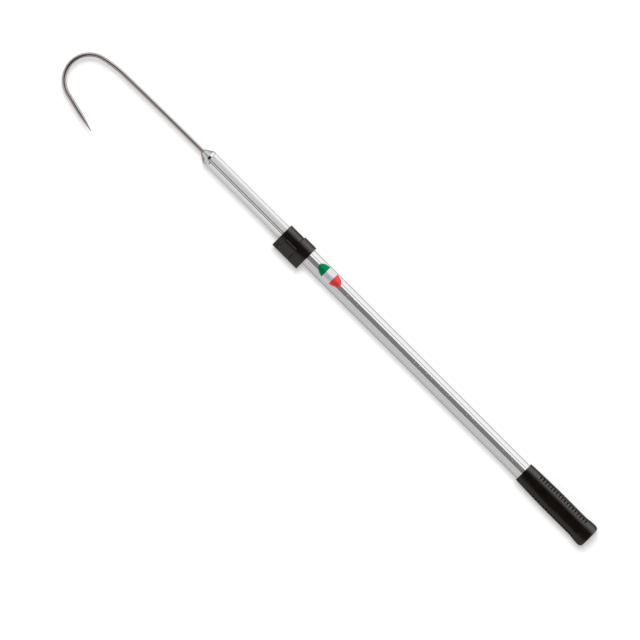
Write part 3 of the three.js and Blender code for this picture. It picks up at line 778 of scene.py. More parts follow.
def eased(profile, radius, closed=True, steps=3):
    """A profile with its corners rounded, as far as the sides beside them allow."""
    straight = math.radians(165)
    side_share = 0.45
    points = [Vector(point) for point in profile]
    rounded = []
    for i, corner in enumerate(points):
        back = points[i - 1] - corner
        ahead = points[(i + 1) % len(points)] - corner
        on_axis = not closed and i in (0, len(points) - 1)
        if on_axis or back.angle(ahead) > straight:
            rounded.append(corner)
            continue
        half = back.angle(ahead) / 2
        run = min(radius / math.tan(half), side_share * back.length, side_share * ahead.length)
        fillet = run * math.tan(half)
        middle = (back.normalized() + ahead.normalized()).normalized()
        centre = corner + middle * fillet / math.sin(half)
        start = corner + back.normalized() * run - centre
        end = corner + ahead.normalized() * run - centre
        side = 1 if start.x * end.y - start.y * end.x > 0 else -1
        for k in range(steps + 1):
            swing = Matrix.Rotation(side * start.angle(end) * k / steps, 2)
            rounded.append(centre + swing @ start)
    return rounded


def held(profile, reach, closed=True):
    """A profile with a point added near each end of its long stretches, so that they shade straight."""
    points = []
    last = len(profile) if closed else len(profile) - 1
    for i in range(last):
        first = Vector(profile[i])
        second = Vector(profile[(i + 1) % len(profile)])
        points.append(first)
        run = second - first
        if run.length > 4 * reach:
            points += [first + run.normalized() * reach, second - run.normalized() * reach]
    if not closed:
        points.append(Vector(profile[-1]))
    return points


def turned(name, profile, angles, closed=True):
    """A round solid about the X axis from stations and radii. An open profile ends on the axis."""
    least_radius = 1e-7
    bm = bmesh.new()
    rings = []
    for station, radius in profile:
        if radius < least_radius:
            rings.append([bm.verts.new((station, 0, 0))])
        else:
            ring = [(station, radius * math.sin(turn), radius * math.cos(turn)) for turn in angles]
            rings.append([bm.verts.new(place) for place in ring])
    last = len(rings) if closed else len(rings) - 1
    sides = len(angles)
    for i in range(last):
        first = rings[i]
        second = rings[(i + 1) % len(rings)]
        for k in range(sides):
            corners = [first[k % len(first)], first[(k + 1) % sides % len(first)]]
            corners += [second[(k + 1) % sides % len(second)], second[k % len(second)]]
            unique = list(dict.fromkeys(corners))
            if len(unique) > 2:
                bm.faces.new(unique)
    return new_piece(name, bm)


def set_place(piece, matrix):
    """Moves a piece's mesh, so that its object stays at the origin."""
    piece.data.transform(matrix)
    return piece


def prism(name, outline, start, end, rim=0.0, front_rim=None, steps=3):
    """A solid along X from an outline in Y and Z, with its end rims rounded."""
    bm = bmesh.new()
    ends = []
    for station in (start, end):
        corners = [bm.verts.new((station, y, z)) for y, z in outline]
        ends.append((corners, bm.faces.new(corners)))
    rear, front = ends[0][0], ends[1][0]
    for i, corner in enumerate(rear):
        after = (i + 1) % len(rear)
        bm.faces.new((corner, front[i], front[after], rear[after]))
    bmesh.ops.recalc_face_normals(bm, faces=bm.faces)
    for (corners, face), offset in zip(ends, (rim, rim if front_rim is None else front_rim)):
        if offset > 0:
            bmesh.ops.bevel(
                bm, geom=list(face.edges), offset=offset, segments=steps, profile=0.5, affect="EDGES"
            )
    return new_piece(name, bm)


def rod(name, start, end, radius, sides=96):
    return turned(name, [(start, 0), (start, radius), (end, radius), (end, 0)], evenly(sides), closed=False)


def box(name, low, high):
    outline = [(low[1], low[2]), (high[1], low[2]), (high[1], high[2]), (low[1], high[2])]
    return prism(name, outline, low[0], high[0])


def boolean(piece, others, operation):
    """Joins others to a piece, cuts them from it or keeps what they share, and deletes them."""
    for other in others:
        modifier = piece.modifiers.new(other.name, "BOOLEAN")
        modifier.operation = operation
        modifier.solver = "EXACT"
        modifier.object = other
    make_plain(piece)
    for other in others:
        bpy.data.objects.remove(other)
    return piece


def soften(piece, width, degrees=32, steps=2):
    """Rounds the edges that are sharper than an angle, and holds the flat faces' shading."""
    bevel = piece.modifiers.new("Edges", "BEVEL")
    bevel.limit_method = "ANGLE"
    bevel.angle_limit = math.radians(degrees)
    bevel.width = width
    bevel.segments = steps
    bevel.use_clamp_overlap = True
    weighted = piece.modifiers.new("Shading", "WEIGHTED_NORMAL")
    weighted.keep_sharp = True
    make_plain(piece)
    return piece


# Handle tube and sliding tube
def tube(name, node, wall):
    sizes = settings().tubes
    low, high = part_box(node)
    outside = [(low.x, high.y - wall), (low.x, high.y), (high.x, high.y), (high.x, high.y - wall)]
    hold = 2 * MM
    profile = held(eased(outside, sizes.end_round), hold)
    return turned(name, profile, evenly(sizes.sides))


class GAFF_OT_build_tubes(bpy.types.Operator):
    """Build the handle tube and the sliding tube"""

    bl_idname = "gaff.build_tubes"
    bl_label = "Tubes"

    def execute(self, context):
        sizes = settings().tubes
        handle = tube("handle_tube", "outer_tube", sizes.handle_wall)
        settle(handle, "handle", "tube_aluminium", "outer_tube", material=finish_of("handle tube"))
        sliding = tube("sliding_tube", "inner_tube", sizes.sliding_wall)
        settle(sliding, "extension", "tube_aluminium", "inner_tube", material=finish_of("sliding tube"))
        return {"FINISHED"}


# Grip
GRIP_TREE_SIZES = (
    "bore", "slot_first", "slot_pitch", "slot_width", "slot_across", "slot_depth", "slot_edge",
    "slot_spread", "band_turn", "panel_rear", "panel_length", "panel_half", "panel_round", "panel_turn",
    "seam_width", "seam_height",
)
WALL_SHARES = (-1.6, -0.6, 0.6, 1.6)


def smoothstep(value, start, end):
    part = min(max((value - start) / (end - start), 0), 1)
    return part * part * (3 - 2 * part)


def grip_radius(station):
    """Outside radius of the grip at a station, from the butt's flare to the thin mouth."""
    sizes = settings().grip
    flare_wall = far("grip").y - sizes.bore
    if station <= sizes.neck_station:
        part = smoothstep(station, sizes.flare_end, sizes.neck_station)
        wall = flare_wall + (sizes.neck_wall - flare_wall) * part
    elif station <= sizes.swell_station:
        part = smoothstep(station, sizes.neck_station, sizes.swell_station)
        wall = sizes.neck_wall + (sizes.swell_wall - sizes.neck_wall) * part
    else:
        run = far("grip").x - sizes.swell_station
        part = ((station - sizes.swell_station) / run) ** sizes.taper_power
        wall = sizes.swell_wall + (sizes.mouth_wall - sizes.swell_wall) * part
    return sizes.bore + wall


def with_edges(spots, edges, clear, least):
    """The edges and the spots clear of them, sorted, without those too close to the one before."""
    free = [spot for spot in spots if min(abs(spot - edge) for edge in edges) > clear]
    kept = []
    for value in sorted(free + edges):
        if not kept or value - kept[-1] >= least:
            kept.append(value)
    return kept


def grip_stations():
    """Stations along the grip's outside, close together where a slot or a panel has an edge."""
    sizes = settings().grip
    coarse = 1.3 * MM
    clear = 0.5 * MM
    least = 0.08 * MM
    start = sizes.corner_round
    run = far("grip").x - sizes.mouth_round - start
    steps = int(run / coarse)
    spots = [start + run * i / steps for i in range(steps)]
    edges = []
    for i in range(sizes.slot_count):
        middle = sizes.slot_first + i * sizes.slot_pitch
        edges.append(middle)
        for side in (-1, 1):
            edges += [middle + side * (sizes.slot_width / 2 + k * sizes.slot_edge) for k in WALL_SHARES]
    for station in (sizes.panel_rear, sizes.panel_rear + sizes.panel_length):
        edges += [station + k * sizes.slot_edge for k in WALL_SHARES]
    return with_edges(spots, edges, clear, least)


def grip_angles():
    """Angles round the grip, close together at the slots' ends, the panels' sides and the mould's seam."""
    sizes = settings().grip
    radius = sizes.bore + sizes.swell_wall
    edges = []
    for half in (0, math.pi):
        for side in (-1, 1):
            row = half + sizes.band_turn + side * sizes.slot_spread
            for end in (-sizes.slot_across / 2, sizes.slot_across / 2):
                edges += [row + (end + k * sizes.slot_edge) / radius for k in WALL_SHARES]
            panel = half + sizes.panel_turn + side * math.asin(sizes.panel_half / radius)
            edges += [panel + k * sizes.slot_edge / radius for k in (-1.5, 0, 1.5)]
            seam = half + sizes.band_turn + side * math.pi / 2
            edges += [seam + k * sizes.seam_width / radius for k in (-1, 0, 1)]
    edges = [edge % (2 * math.pi) for edge in edges]
    return with_edges(evenly(132), edges, math.radians(1.4), math.radians(0.25))


def grip_profile():
    """The grip's section from the middle of the butt, along the outside and back through the bore."""
    sizes = settings().grip
    reach = far("grip")
    lead_in = 12 * MM
    face_radius = reach.y - sizes.corner_round
    face = [(0, 0)] + [(0, face_radius * i / 6) for i in range(1, 6)]
    corner = []
    for i in range(9):
        turn = math.pi / 2 * (8 - i) / 8
        rise = sizes.corner_round * (1 - math.cos(turn))
        corner.append((sizes.corner_round * (1 - math.sin(turn)), reach.y - rise))
    outside = [(station, grip_radius(station)) for station in grip_stations() if station > sizes.corner_round]
    mouth = [
        outside[-1],
        (reach.x, grip_radius(reach.x)),
        (reach.x - sizes.mouth_dish, sizes.bore),
        (sizes.butt_wall, sizes.bore),
    ]
    lip = eased(mouth, sizes.mouth_round, closed=False)
    inside = [(reach.x - lead_in, sizes.bore), (sizes.butt_wall, sizes.bore), (sizes.butt_wall, 0)]
    return face + corner + outside[:-1] + [tuple(point) for point in lip[:-1]] + inside


def label_of(name):
    """The label of a property's input in a geometry tree."""
    return name.replace("_", " ").capitalize()


def end_tree(tree, geometry, given, out):
    """Ends a geometry tree in real geometry with its material."""
    real = result(tree, "GeometryNodeRealizeInstances", {0: geometry})
    finished = result(tree, "GeometryNodeSetMaterial", {"Geometry": real, "Material": given["Material"]})
    feed(tree, finished, out["Geometry"])
    return tree


def use_tree(piece, tree, values):
    """Runs a geometry tree on a piece with named values, and makes its result a plain mesh."""
    modifier = piece.modifiers.new(tree.name, "NODES")
    modifier.node_group = tree
    for item in tree.interface.items_tree:
        if item.in_out == "INPUT" and item.name in values:
            modifier[item.identifier] = values[item.name]
    make_plain(piece)


def grip_tree():
    """Presses the rows of slots and the flat panels into the grip, and raises the mould's seam."""
    inputs = {"Geometry": "Geometry", **{label_of(name): "Float" for name in GRIP_TREE_SIZES}}
    inputs.update({"Panel height": "Float", "Slot count": "Int", "Material": "Material"})
    tree, given, out = new_group("Grip mould", inputs, {"Geometry": "Geometry"}, "GeometryNodeTree")
    skin_start = 0.6 * MM
    skin_full = 0.8 * MM
    station, y, z = split(tree, result(tree, "GeometryNodeInputPosition"))
    radius = calc(tree, "SQRT", y * y + z * z)
    outside = fade(tree, radius, given["Bore"] + skin_start, given["Bore"] + skin_full)
    turn = calc(tree, "ARCTAN2", y, z) - given["Band turn"]
    folded = abs(calc(tree, "WRAP", turn, math.pi / 2, -math.pi / 2))

    def within(distance, half):
        """One inside a half width, zero outside, over a sloping wall."""
        return fade(tree, distance, half + given["Slot edge"], half - given["Slot edge"])

    # Slots, wider and deeper towards the grip's sides, and the seam
    middle_share = 0.95
    widening = 0.35
    deepening = 0.5
    floor_share = 0.6
    half_pitch = given["Slot pitch"] * 0.5
    from_first = station - given["Slot first"]
    from_slot = abs(calc(tree, "WRAP", from_first, half_pitch, half_pitch * -1.0))
    row_middle = (given["Slot count"] - 1.0) * 0.5 * given["Slot pitch"]
    in_row = calc(tree, "LESS_THAN", abs(from_first - row_middle), row_middle + half_pitch)
    from_row = (folded - given["Slot spread"]) * radius
    outward = from_row / given["Slot across"]
    half_width = (outward * widening + middle_share) * (given["Slot width"] * 0.5)
    along = fade(tree, from_slot, half_width + given["Slot edge"], half_width * floor_share)
    across = within(abs(from_row), given["Slot across"] * 0.5)
    slot = along * across * (in_row * (given["Slot depth"] * (outward * deepening + middle_share)))
    from_seam = (math.pi / 2 - folded) * radius
    seam = fade(tree, from_seam, given["Seam width"], 0.0) * given["Seam height"]
    radial = vector_calc(tree, "NORMALIZE", {0: joined(tree, 0.0, y, z)})
    pressed = vector_calc(tree, "SCALE", {0: radial, "Scale": (seam - slot) * outside})

    # Flat panels
    sine = calc(tree, "SINE", given["Panel turn"])
    cosine = calc(tree, "COSINE", given["Panel turn"])
    up = y * sine + z * cosine
    aside = y * cosine - z * sine
    half_length = given["Panel length"] * 0.5
    corner_x = abs(station - (half_length + given["Panel rear"])) - (half_length - given["Panel round"])
    corner_y = abs(aside) - (given["Panel half"] - given["Panel round"])
    past_x, past_y = [calc(tree, "MAXIMUM", corner, 0.0) for corner in (corner_x, corner_y)]
    past_corner = calc(tree, "SQRT", past_x * past_x + past_y * past_y)
    inside_corner = calc(tree, "MINIMUM", calc(tree, "MAXIMUM", corner_x, corner_y), 0.0)
    on_panel = within(past_corner + inside_corner, given["Panel round"])
    spare = calc(tree, "MAXIMUM", abs(up) - given["Panel height"], 0.0)
    lowered = spare * on_panel * calc(tree, "SIGN", up) * (outside * -1.0)
    flattened = vector_calc(tree, "SCALE", {0: joined(tree, 0.0, sine, cosine), "Scale": lowered})

    moved = vector_calc(tree, "ADD", {0: pressed, 1: flattened})
    shaped = result(tree, "GeometryNodeSetPosition", {"Geometry": given["Geometry"], "Offset": moved})
    return end_tree(tree, shaped, given, out)


class GAFF_OT_build_grip(bpy.types.Operator):
    """Build the moulded grip with its rows of slots and flat panels"""

    bl_idname = "gaff.build_grip"
    bl_label = "Grip"

    def execute(self, context):
        sizes = settings().grip
        grip = turned("handle_grip", grip_profile(), grip_angles(), closed=False)
        swell = sizes.bore + sizes.swell_wall
        values = {label_of(name): getattr(sizes, name) for name in GRIP_TREE_SIZES}
        values["Panel height"] = math.sqrt(swell ** 2 - sizes.panel_half ** 2)
        values["Slot count"] = sizes.slot_count
        values["Material"] = finish_of("grip_rubber")
        use_tree(grip, grip_tree(), values)
        smooth(grip, degrees=50)
        settle(grip, "handle", "grip_rubber", "grip")
        return {"FINISHED"}


# Clamp
def teardrop(radius, steps=120):
    """The clamp's section in Y and Z: a circle drawn out by two tangents to the lug's narrow edge."""
    sizes = settings().clamp
    corner = Vector((far("clamp_collar").y, sizes.lug_edge / 2))
    touch = math.atan2(corner.y, corner.x) + math.acos(radius / corner.length)
    crown = []
    for i in range(steps + 1):
        turn = touch + (2 * math.pi - 2 * touch) * i / steps
        crown.append(Vector((radius * math.cos(turn), radius * math.sin(turn))))
    lower = Vector((corner.x, -corner.y))
    lug = eased([crown[-1], lower, corner, crown[0]], sizes.lug_round, closed=False, steps=5)
    return lug[1:-1] + crown


def at_pin(piece):
    return set_place(piece, Matrix.Translation((0, settings().clamp.pin_reach, 0)))


def upright(piece, station, turn=0.0):
    """Stands a round piece up at a station of the tubes and turns it towards the lug's side."""
    stand = Matrix.Rotation(-math.pi / 2, 4, "Y")
    lean = Matrix.Rotation(-turn, 4, "X")
    return set_place(piece, Matrix.Translation((station, 0, 0)) @ lean @ stand)


def clamp_cutters():
    """What the collar leaves free: bores, the lever's gaps, the wells of cam and shoe, the rivet's seat."""
    sizes = settings().clamp
    low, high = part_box("clamp_collar")
    lever_low, lever_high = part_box("clamp_lever")
    shoe_low, shoe_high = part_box("clamp_shoe")
    top = high.y + OVERRUN

    # The lever's gaps, and the line at the foot of the step
    rear = lever_low.x - sizes.rear_gap
    front = lever_high.x + sizes.front_gap
    well_rear = lever_low.x - sizes.well_side
    well_front = lever_high.x + sizes.well_side
    free_edge = sizes.lip_reach - sizes.flank_gap
    over_pin = sizes.pin_radius + sizes.gap
    flank = box("flank", (well_rear, free_edge, 0), (front, top, top))
    boolean(flank, [box("rear gap", (rear, free_edge, over_pin), (lever_low.x, top, top))], "UNION")
    line = box("step line", (sizes.step, -top, -top), (sizes.step + sizes.step_line, free_edge, top))
    for cutter, floor in ((flank, sizes.flank_floor), (line, sizes.front_radius - sizes.step_line)):
        boolean(cutter, [rod("gap floor", rear - OVERRUN, front + OVERRUN, floor, sides=160)], "DIFFERENCE")

    # The cam, its pin and the shoe
    cam_well = sizes.cam_throw + sizes.cam_radius + sizes.well_gap
    pin_hole = sizes.pin_radius + sizes.pin_play
    pin_rear = near("lever_pin").x - sizes.gap
    window_half = shoe_high.z + sizes.gap
    window_low = (shoe_low.x - sizes.gap, sizes.front_bore - sizes.window_root, -window_half)
    window_high = (shoe_high.x + sizes.gap, sizes.pin_reach - sizes.cam_radius, window_half)

    # The rivet
    rivet_face = low.z + sizes.rivet_recess
    rivet_x = (near("collar_rivet").x + far("collar_rivet").x) / 2
    rivet_seat = rod("rivet seat", low.z - OVERRUN, rivet_face, sizes.rivet_head + sizes.gap, sides=64)
    rivet_hole = rod("rivet hole", low.z - OVERRUN, 0, sizes.rivet_shank + sizes.gap, sides=48)

    return [
        rod("socket", low.x - OVERRUN, sizes.shoulder, sizes.rear_bore, sides=160),
        rod("bore", sizes.shoulder - OVERRUN, high.x + OVERRUN, sizes.front_bore, sides=160),
        at_pin(rod("pin hole", pin_rear, high.x + OVERRUN, pin_hole, sides=48)),
        flank,
        line,
        box("edge notch", (rear, high.y - sizes.edge_notch, -top), (lever_low.x, top, top)),
        at_pin(rod("cam well", well_rear, well_front, cam_well, sides=64)),
        box("nose well", (well_rear, sizes.pin_reach - sizes.wedge_setback, -top), (well_front, top, top)),
        box("shoe window", window_low, window_high),
        upright(rivet_seat, rivet_x),
        upright(rivet_hole, rivet_x),
        pin_mark(),
    ]


def pin_mark():
    """A shallow round mark of the mould's ejector pin on the front cheek's slanting face."""
    sizes = settings().clamp
    edge = Vector((far("clamp_collar").y, sizes.lug_edge / 2))
    touch = math.atan2(edge.y, edge.x) + math.acos(sizes.front_radius / edge.length)
    normal = Vector((math.cos(touch), math.sin(touch)))
    height = (sizes.front_radius - sizes.mark_reach * normal.x) / normal.y
    centre = Vector((sizes.mark_station, sizes.mark_reach, height))
    mark = rod("pin mark", -sizes.mark_depth, sizes.mark_depth, sizes.mark_radius, sides=32)
    lean = math.atan2(normal.x, normal.y)
    turn = Matrix.Rotation(-lean, 4, "X") @ Matrix.Rotation(-math.pi / 2, 4, "Y")
    return set_place(mark, Matrix.Translation(centre) @ turn)


def build_collar():
    sizes = settings().clamp
    low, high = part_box("clamp_collar")
    rear_section = teardrop(-low.y)
    front_section = teardrop(sizes.front_radius)
    rear = prism("collar_shell", rear_section, low.x, sizes.step, rim=sizes.rim, front_rim=sizes.step_rim)
    front = prism("front block", front_section, sizes.shoulder, high.x, rim=sizes.rim)
    boolean(rear, [front], "UNION")
    boolean(rear, clamp_cutters(), "DIFFERENCE")
    return soften(rear, sizes.fine_edge)


def dome(base, rise, radius, steps):
    """Points of a domed head from its rim to its top."""
    turns = [math.pi / 2 * i / steps for i in range(steps + 1)]
    return [(base + rise * math.sin(turn), radius * math.cos(turn)) for turn in turns]


def build_rivet():
    """The rivet that holds the collar from below, with its head down."""
    sizes = settings().clamp
    low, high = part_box("collar_rivet")
    head_foot = low.z + sizes.rivet_rise
    profile = dome(head_foot, -sizes.rivet_rise, sizes.rivet_head, steps=10)[::-1]
    profile += [(head_foot, sizes.rivet_shank), (high.z, sizes.rivet_shank), (high.z, 0)]
    rivet = turned("clamp_rivet", profile, evenly(48), closed=False)
    return upright(rivet, (low.x + high.x) / 2)


def build_lever_pin():
    sizes = settings().clamp
    low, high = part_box("lever_pin")
    hold = 1 * MM
    outline = [(low.x, 0), (low.x, sizes.pin_radius), (high.x, sizes.pin_radius), (high.x, 0)]
    profile = held(eased(outline, sizes.pin_round, closed=False), hold, closed=False)
    return at_pin(turned("lever_axle", profile, evenly(40), closed=False))


class GAFF_OT_build_clamp(bpy.types.Operator):
    """Build the clamp's collar, its rivet and the lever's pin"""

    bl_idname = "gaff.build_clamp"
    bl_label = "Clamp collar"

    def execute(self, context):
        settle(build_collar(), "handle", "clamp_nylon", "clamp_collar")
        settle(build_rivet(), "handle", "turned_steel", "collar_rivet")
        settle(build_lever_pin(), "handle", "turned_steel", "lever_pin")
        return {"FINISHED"}


# Lever and shoe
def build_lever():
    """The lever: flush with the rear block, with a raised lip on its free edge and the cam round its pin."""
    sizes = settings().clamp
    low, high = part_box("clamp_lever")
    radius = -near("clamp_collar").y
    top = far("clamp_collar").y + OVERRUN
    plate = prism("cam_lever", teardrop(radius), low.x, high.x)
    keep = box("kept", (low.x - OVERRUN, sizes.lip_reach, sizes.underside), (high.x + OVERRUN, top, top))
    boolean(plate, [keep], "INTERSECT")
    hollow = rod("underside", low.x - OVERRUN, high.x + OVERRUN, sizes.front_radius + sizes.gap, sides=160)
    boolean(plate, [hollow], "DIFFERENCE")

    lip_end = sizes.lip_reach + sizes.lip_width
    lip_top = math.sqrt(radius ** 2 - sizes.lip_reach ** 2) + sizes.lip_rise
    lip_foot = math.sqrt(radius ** 2 - lip_end ** 2)
    root = lip_foot - sizes.lip_root
    section = [(sizes.lip_reach, root), (lip_end, root), (lip_end, lip_foot), (sizes.lip_reach, lip_top)]
    lip = prism("lip", section, low.x, high.x)
    cam = rod("cam", low.x, high.x, sizes.cam_radius, sides=96)
    set_place(cam, Matrix.Translation((0, sizes.pin_reach - sizes.cam_throw, 0)))
    boolean(plate, [lip, cam], "UNION")

    half_groove = sizes.groove_width / 2
    groove_turn = math.acos((lip_end + half_groove) / radius)
    groove_floor = radius - sizes.groove_depth
    groove_low = (low.x - OVERRUN, groove_floor, -half_groove)
    groove = box("groove", groove_low, (high.x + OVERRUN, radius + OVERRUN, half_groove))
    set_place(groove, Matrix.Rotation(groove_turn, 4, "X"))
    hole = at_pin(rod("hole", low.x - OVERRUN, high.x + OVERRUN, sizes.pin_radius + sizes.pin_play, sides=48))
    boolean(plate, [groove, hole], "DIFFERENCE")
    return soften(plate, sizes.fine_edge)


def build_shoe():
    sizes = settings().clamp
    low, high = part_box("clamp_shoe")
    block = box("press_shoe", (low.x, 0, low.z), (high.x, high.y, high.z))
    saddle_radius = far("inner_tube").y + sizes.gap
    boolean(block, [rod("saddle", low.x - OVERRUN, high.x + OVERRUN, saddle_radius, sides=160)], "DIFFERENCE")
    return soften(block, sizes.fine_edge)


class GAFF_OT_build_lever(bpy.types.Operator):
    """Build the cam lever and the shoe that it presses on the sliding tube"""

    bl_idname = "gaff.build_lever"
    bl_label = "Cam lever and shoe"

    def execute(self, context):
        settle(build_lever(), "lever", "clamp_nylon", "clamp_lever")
        settle(build_shoe(), "shoe", "slide_nylon", "clamp_shoe")
        return {"FINISHED"}


# Nose plug
def build_nose():
    sizes = settings().nose
    low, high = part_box("nose_cone")
    tube_end = far("inner_tube").x
    rim_radius = far("inner_tube").y - sizes.rim_inset
    outline = [
        (low.x, sizes.bore),
        (low.x, sizes.spigot),
        (tube_end + sizes.seat, sizes.spigot),
        (tube_end + sizes.seat, rim_radius),
        (tube_end + sizes.rim_length, rim_radius),
        (high.x, sizes.bore + sizes.tip_wall),
        (high.x, sizes.bore),
    ]
    hold = 0.5 * MM
    profile = held(eased(outline, sizes.edge), hold)
    return turned("nose_plug", profile, evenly(settings().tubes.sides))


def build_nose_pin():
    sizes = settings().nose
    foot = far("inner_tube").y - sizes.pin_foot
    head = far("inner_tube").y + sizes.pin_seat
    profile = [(foot, 0), (foot, sizes.pin_shank), (head, sizes.pin_shank)]
    profile += dome(head, sizes.pin_rise, sizes.pin_head, steps=8)
    pin = turned("nose_rivet", profile, evenly(40), closed=False)
    return upright(pin, far("inner_tube").x - sizes.pin_setback, sizes.pin_turn)


class GAFF_OT_build_nose(bpy.types.Operator):
    """Build the turned nose plug and its pin"""

    bl_idname = "gaff.build_nose"
    bl_label = "Nose plug and pin"

    def execute(self, context):
        land = far("inner_tube").x + settings().nose.rim_length
        metal = bright_metal("Nose plug metal", land)
        settle(build_nose(), "extension", "turned_steel", "nose_cone", material=metal)
        settle(build_nose_pin(), "extension", "turned_steel", "nose_pin")
        return {"FINISHED"}


# Hook
def hook_line():
    """Points of the wire's centreline from its tail to its point."""
    sizes = settings().hook
    stretches = [
        (sizes.straight, 0),
        (sizes.bow_radius * sizes.bow_turn, sizes.bow_turn),
        (sizes.lead_radius * sizes.lead_turn, sizes.lead_turn),
        (sizes.bend_radius * sizes.bend_turn, sizes.bend_turn),
        (sizes.point_leg, 0),
    ]
    place = Vector((near("hook").x, 0, 0))
    heading = 0.0
    points = [place.copy()]
    for run, turn in stretches:
        steps = max(2, round(run / sizes.spacing))
        for _ in range(steps):
            middle = heading + turn / steps / 2
            place = place + Vector((math.cos(middle), math.sin(middle), 0)) * run / steps
            heading += turn / steps
            points.append(place.copy())
    return points


def stored(tree, geometry, name, value, kind="FLOAT"):
    """Geometry with a value kept at each of its points under a name."""
    inputs = {"Geometry": geometry, "Name": name, "Value": value}
    return result(tree, "GeometryNodeStoreNamedAttribute", inputs, data_type=kind)


def recalled(tree, name, kind="FLOAT"):
    """The value that was kept under a name."""
    return result(tree, "GeometryNodeInputNamedAttribute", {"Name": name}, data_type=kind)


def wire_tree():
    """Sweeps a round wire along a line and draws its end to a point."""
    floats = ("Wire radius", "Taper", "Tip radius", "Fullness")
    inputs = {"Geometry": "Geometry", **dict.fromkeys(floats, "Float")}
    inputs.update({"Sides": "Int", "Material": "Material"})
    tree, given, out = new_group("Hook wire", inputs, {"Geometry": "Geometry"}, "GeometryNodeTree")
    line = result(tree, "GeometryNodeMeshToCurve", {0: given["Geometry"]})
    run = result(tree, "GeometryNodeSplineParameter", output="Length")
    total = result(tree, "GeometryNodeSplineLength", output="Length")
    part = calc(tree, "MINIMUM", calc(tree, "MAXIMUM", (total - run) / given["Taper"], 0.0), 1.0)
    full = calc(tree, "POWER", part, given["Fullness"])
    radius = full * (given["Wire radius"] - given["Tip radius"]) + given["Tip radius"]
    marked = stored(tree, line, "run", run)
    section = result(tree, "GeometryNodeCurvePrimitiveCircle", {"Resolution": given["Sides"], "Radius": 1.0})
    ring = stored(tree, section, "ring", result(tree, "GeometryNodeInputPosition"), "FLOAT_VECTOR")
    wire = result(tree, "GeometryNodeCurveToMesh", {
        "Curve": marked, "Profile Curve": ring, "Scale": radius, "Fill Caps": True,
    })
    across, up, _ = split(tree, recalled(tree, "ring", "FLOAT_VECTOR"))
    place = joined(tree, recalled(tree, "run"), across, up)
    return end_tree(tree, stored(tree, wire, "wire_place", place, "FLOAT_VECTOR"), given, out)


class GAFF_OT_build_hook(bpy.types.Operator):
    """Build the bent wire hook with its ground point"""

    bl_idname = "gaff.build_hook"
    bl_label = "Hook"

    def execute(self, context):
        sizes = settings().hook
        bm = bmesh.new()
        points = [bm.verts.new(point) for point in hook_line()]
        for first, second in zip(points, points[1:]):
            bm.edges.new((first, second))
        hook = new_piece("hook_wire", bm)
        use_tree(hook, wire_tree(), {
            "Wire radius": sizes.wire,
            "Taper": sizes.taper,
            "Tip radius": sizes.tip,
            "Fullness": sizes.fullness,
            "Sides": sizes.sides,
            "Material": finish_of("hook_steel"),
        })
        smooth(hook)
        settle(hook, "extension", "hook_steel", "hook")
        return {"FINISHED"}


# Sticker
def build_sticker():
    sizes = settings().sticker
    low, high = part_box("tricolour_label")
    inner = far("outer_tube").y + sizes.seat
    outer = inner + sizes.thickness
    middle = (low.x + high.x) / 2
    half = (high.x - low.x) / 2
    spokes = 96
    rounds = 14
    edge = sizes.edge_round / half

    # Each ring's share of the sticker's reach and its radius: over the face, round the edge and below
    rings = [(i / rounds, outer) for i in range(1, rounds)]
    rings += [(1 - edge, outer), (1 - edge * 0.4, outer - sizes.thickness * 0.15)]
    rings += [(1, outer - sizes.thickness * 0.6), (1, inner), (1 - edge, inner), (0.5, inner)]

    def spot(out_share, radius, spoke):
        swing = 2 * math.pi * spoke / spokes
        turn = -sizes.turn + sizes.wrap / 2 * out_share * math.sin(swing)
        return (middle + half * out_share * math.cos(swing), radius * math.sin(turn), radius * math.cos(turn))

    bm = bmesh.new()
    loops = [[bm.verts.new(spot(out_share, radius, k)) for k in range(spokes)] for out_share, radius in rings]
    top = bm.verts.new(spot(0, outer, 0))
    bottom = bm.verts.new(spot(0, inner, 0))
    for k in range(spokes):
        after = (k + 1) % spokes
        bm.faces.new((top, loops[0][k], loops[0][after]))
        bm.faces.new((bottom, loops[-1][after], loops[-1][k]))
        for first, second in zip(loops, loops[1:]):
            bm.faces.new((first[k], second[k], second[after], first[after]))
    return new_piece("tricolour_sticker", bm), middle, 2 * half


class GAFF_OT_build_sticker(bpy.types.Operator):
    """Build the oval sticker in three stripes"""

    bl_idname = "gaff.build_sticker"
    bl_label = "Sticker"

    def execute(self, context):
        sticker, middle, length_along = build_sticker()
        vinyl = sticker_vinyl(middle, length_along)
        settle(sticker, "handle", "label_vinyl", "tricolour_label", material=vinyl)
        return {"FINISHED"}


# Inner pieces, which stay as the frame has them
INNER_PIECES = {
    "butt_plug": "clamp_nylon",
    "hook_washer": "turned_steel",
    "hook_nut": "turned_steel",
    "guide_plug": "clamp_nylon",
    "guide_plug_pin": "turned_steel",
    "guide_ring_front": "slide_nylon",
    "guide_ring_rear": "slide_nylon",
}


class GAFF_OT_finish_inner_pieces(bpy.types.Operator):
    """Give the plugs, rings, nut and washer inside the tubes their finishes"""

    bl_idname = "gaff.finish_inner_pieces"
    bl_label = "Inner pieces"

    def execute(self, context):
        for node, slot in INNER_PIECES.items():
            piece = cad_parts[node]
            piece.data.materials.clear()
            piece.data.materials.append(finish_of(slot))
        return {"FINISHED"}


# Stage
def plane(name, corners):
    bm = bmesh.new()
    bm.faces.new([bm.verts.new(corner) for corner in corners])
    mesh = bpy.data.meshes.new(name)
    bm.to_mesh(mesh)
    bm.free()
    piece = bpy.data.objects.new(name, mesh)
    bpy.context.scene.collection.objects.link(piece)
    return piece


def level_plane(name, start, stop, height):
    """A level rectangle between two corners in X and Y."""
    corners = (start, (stop[0], start[1]), stop, (start[0], stop[1]))
    return plane(name, [(x, y, height) for x, y in corners])


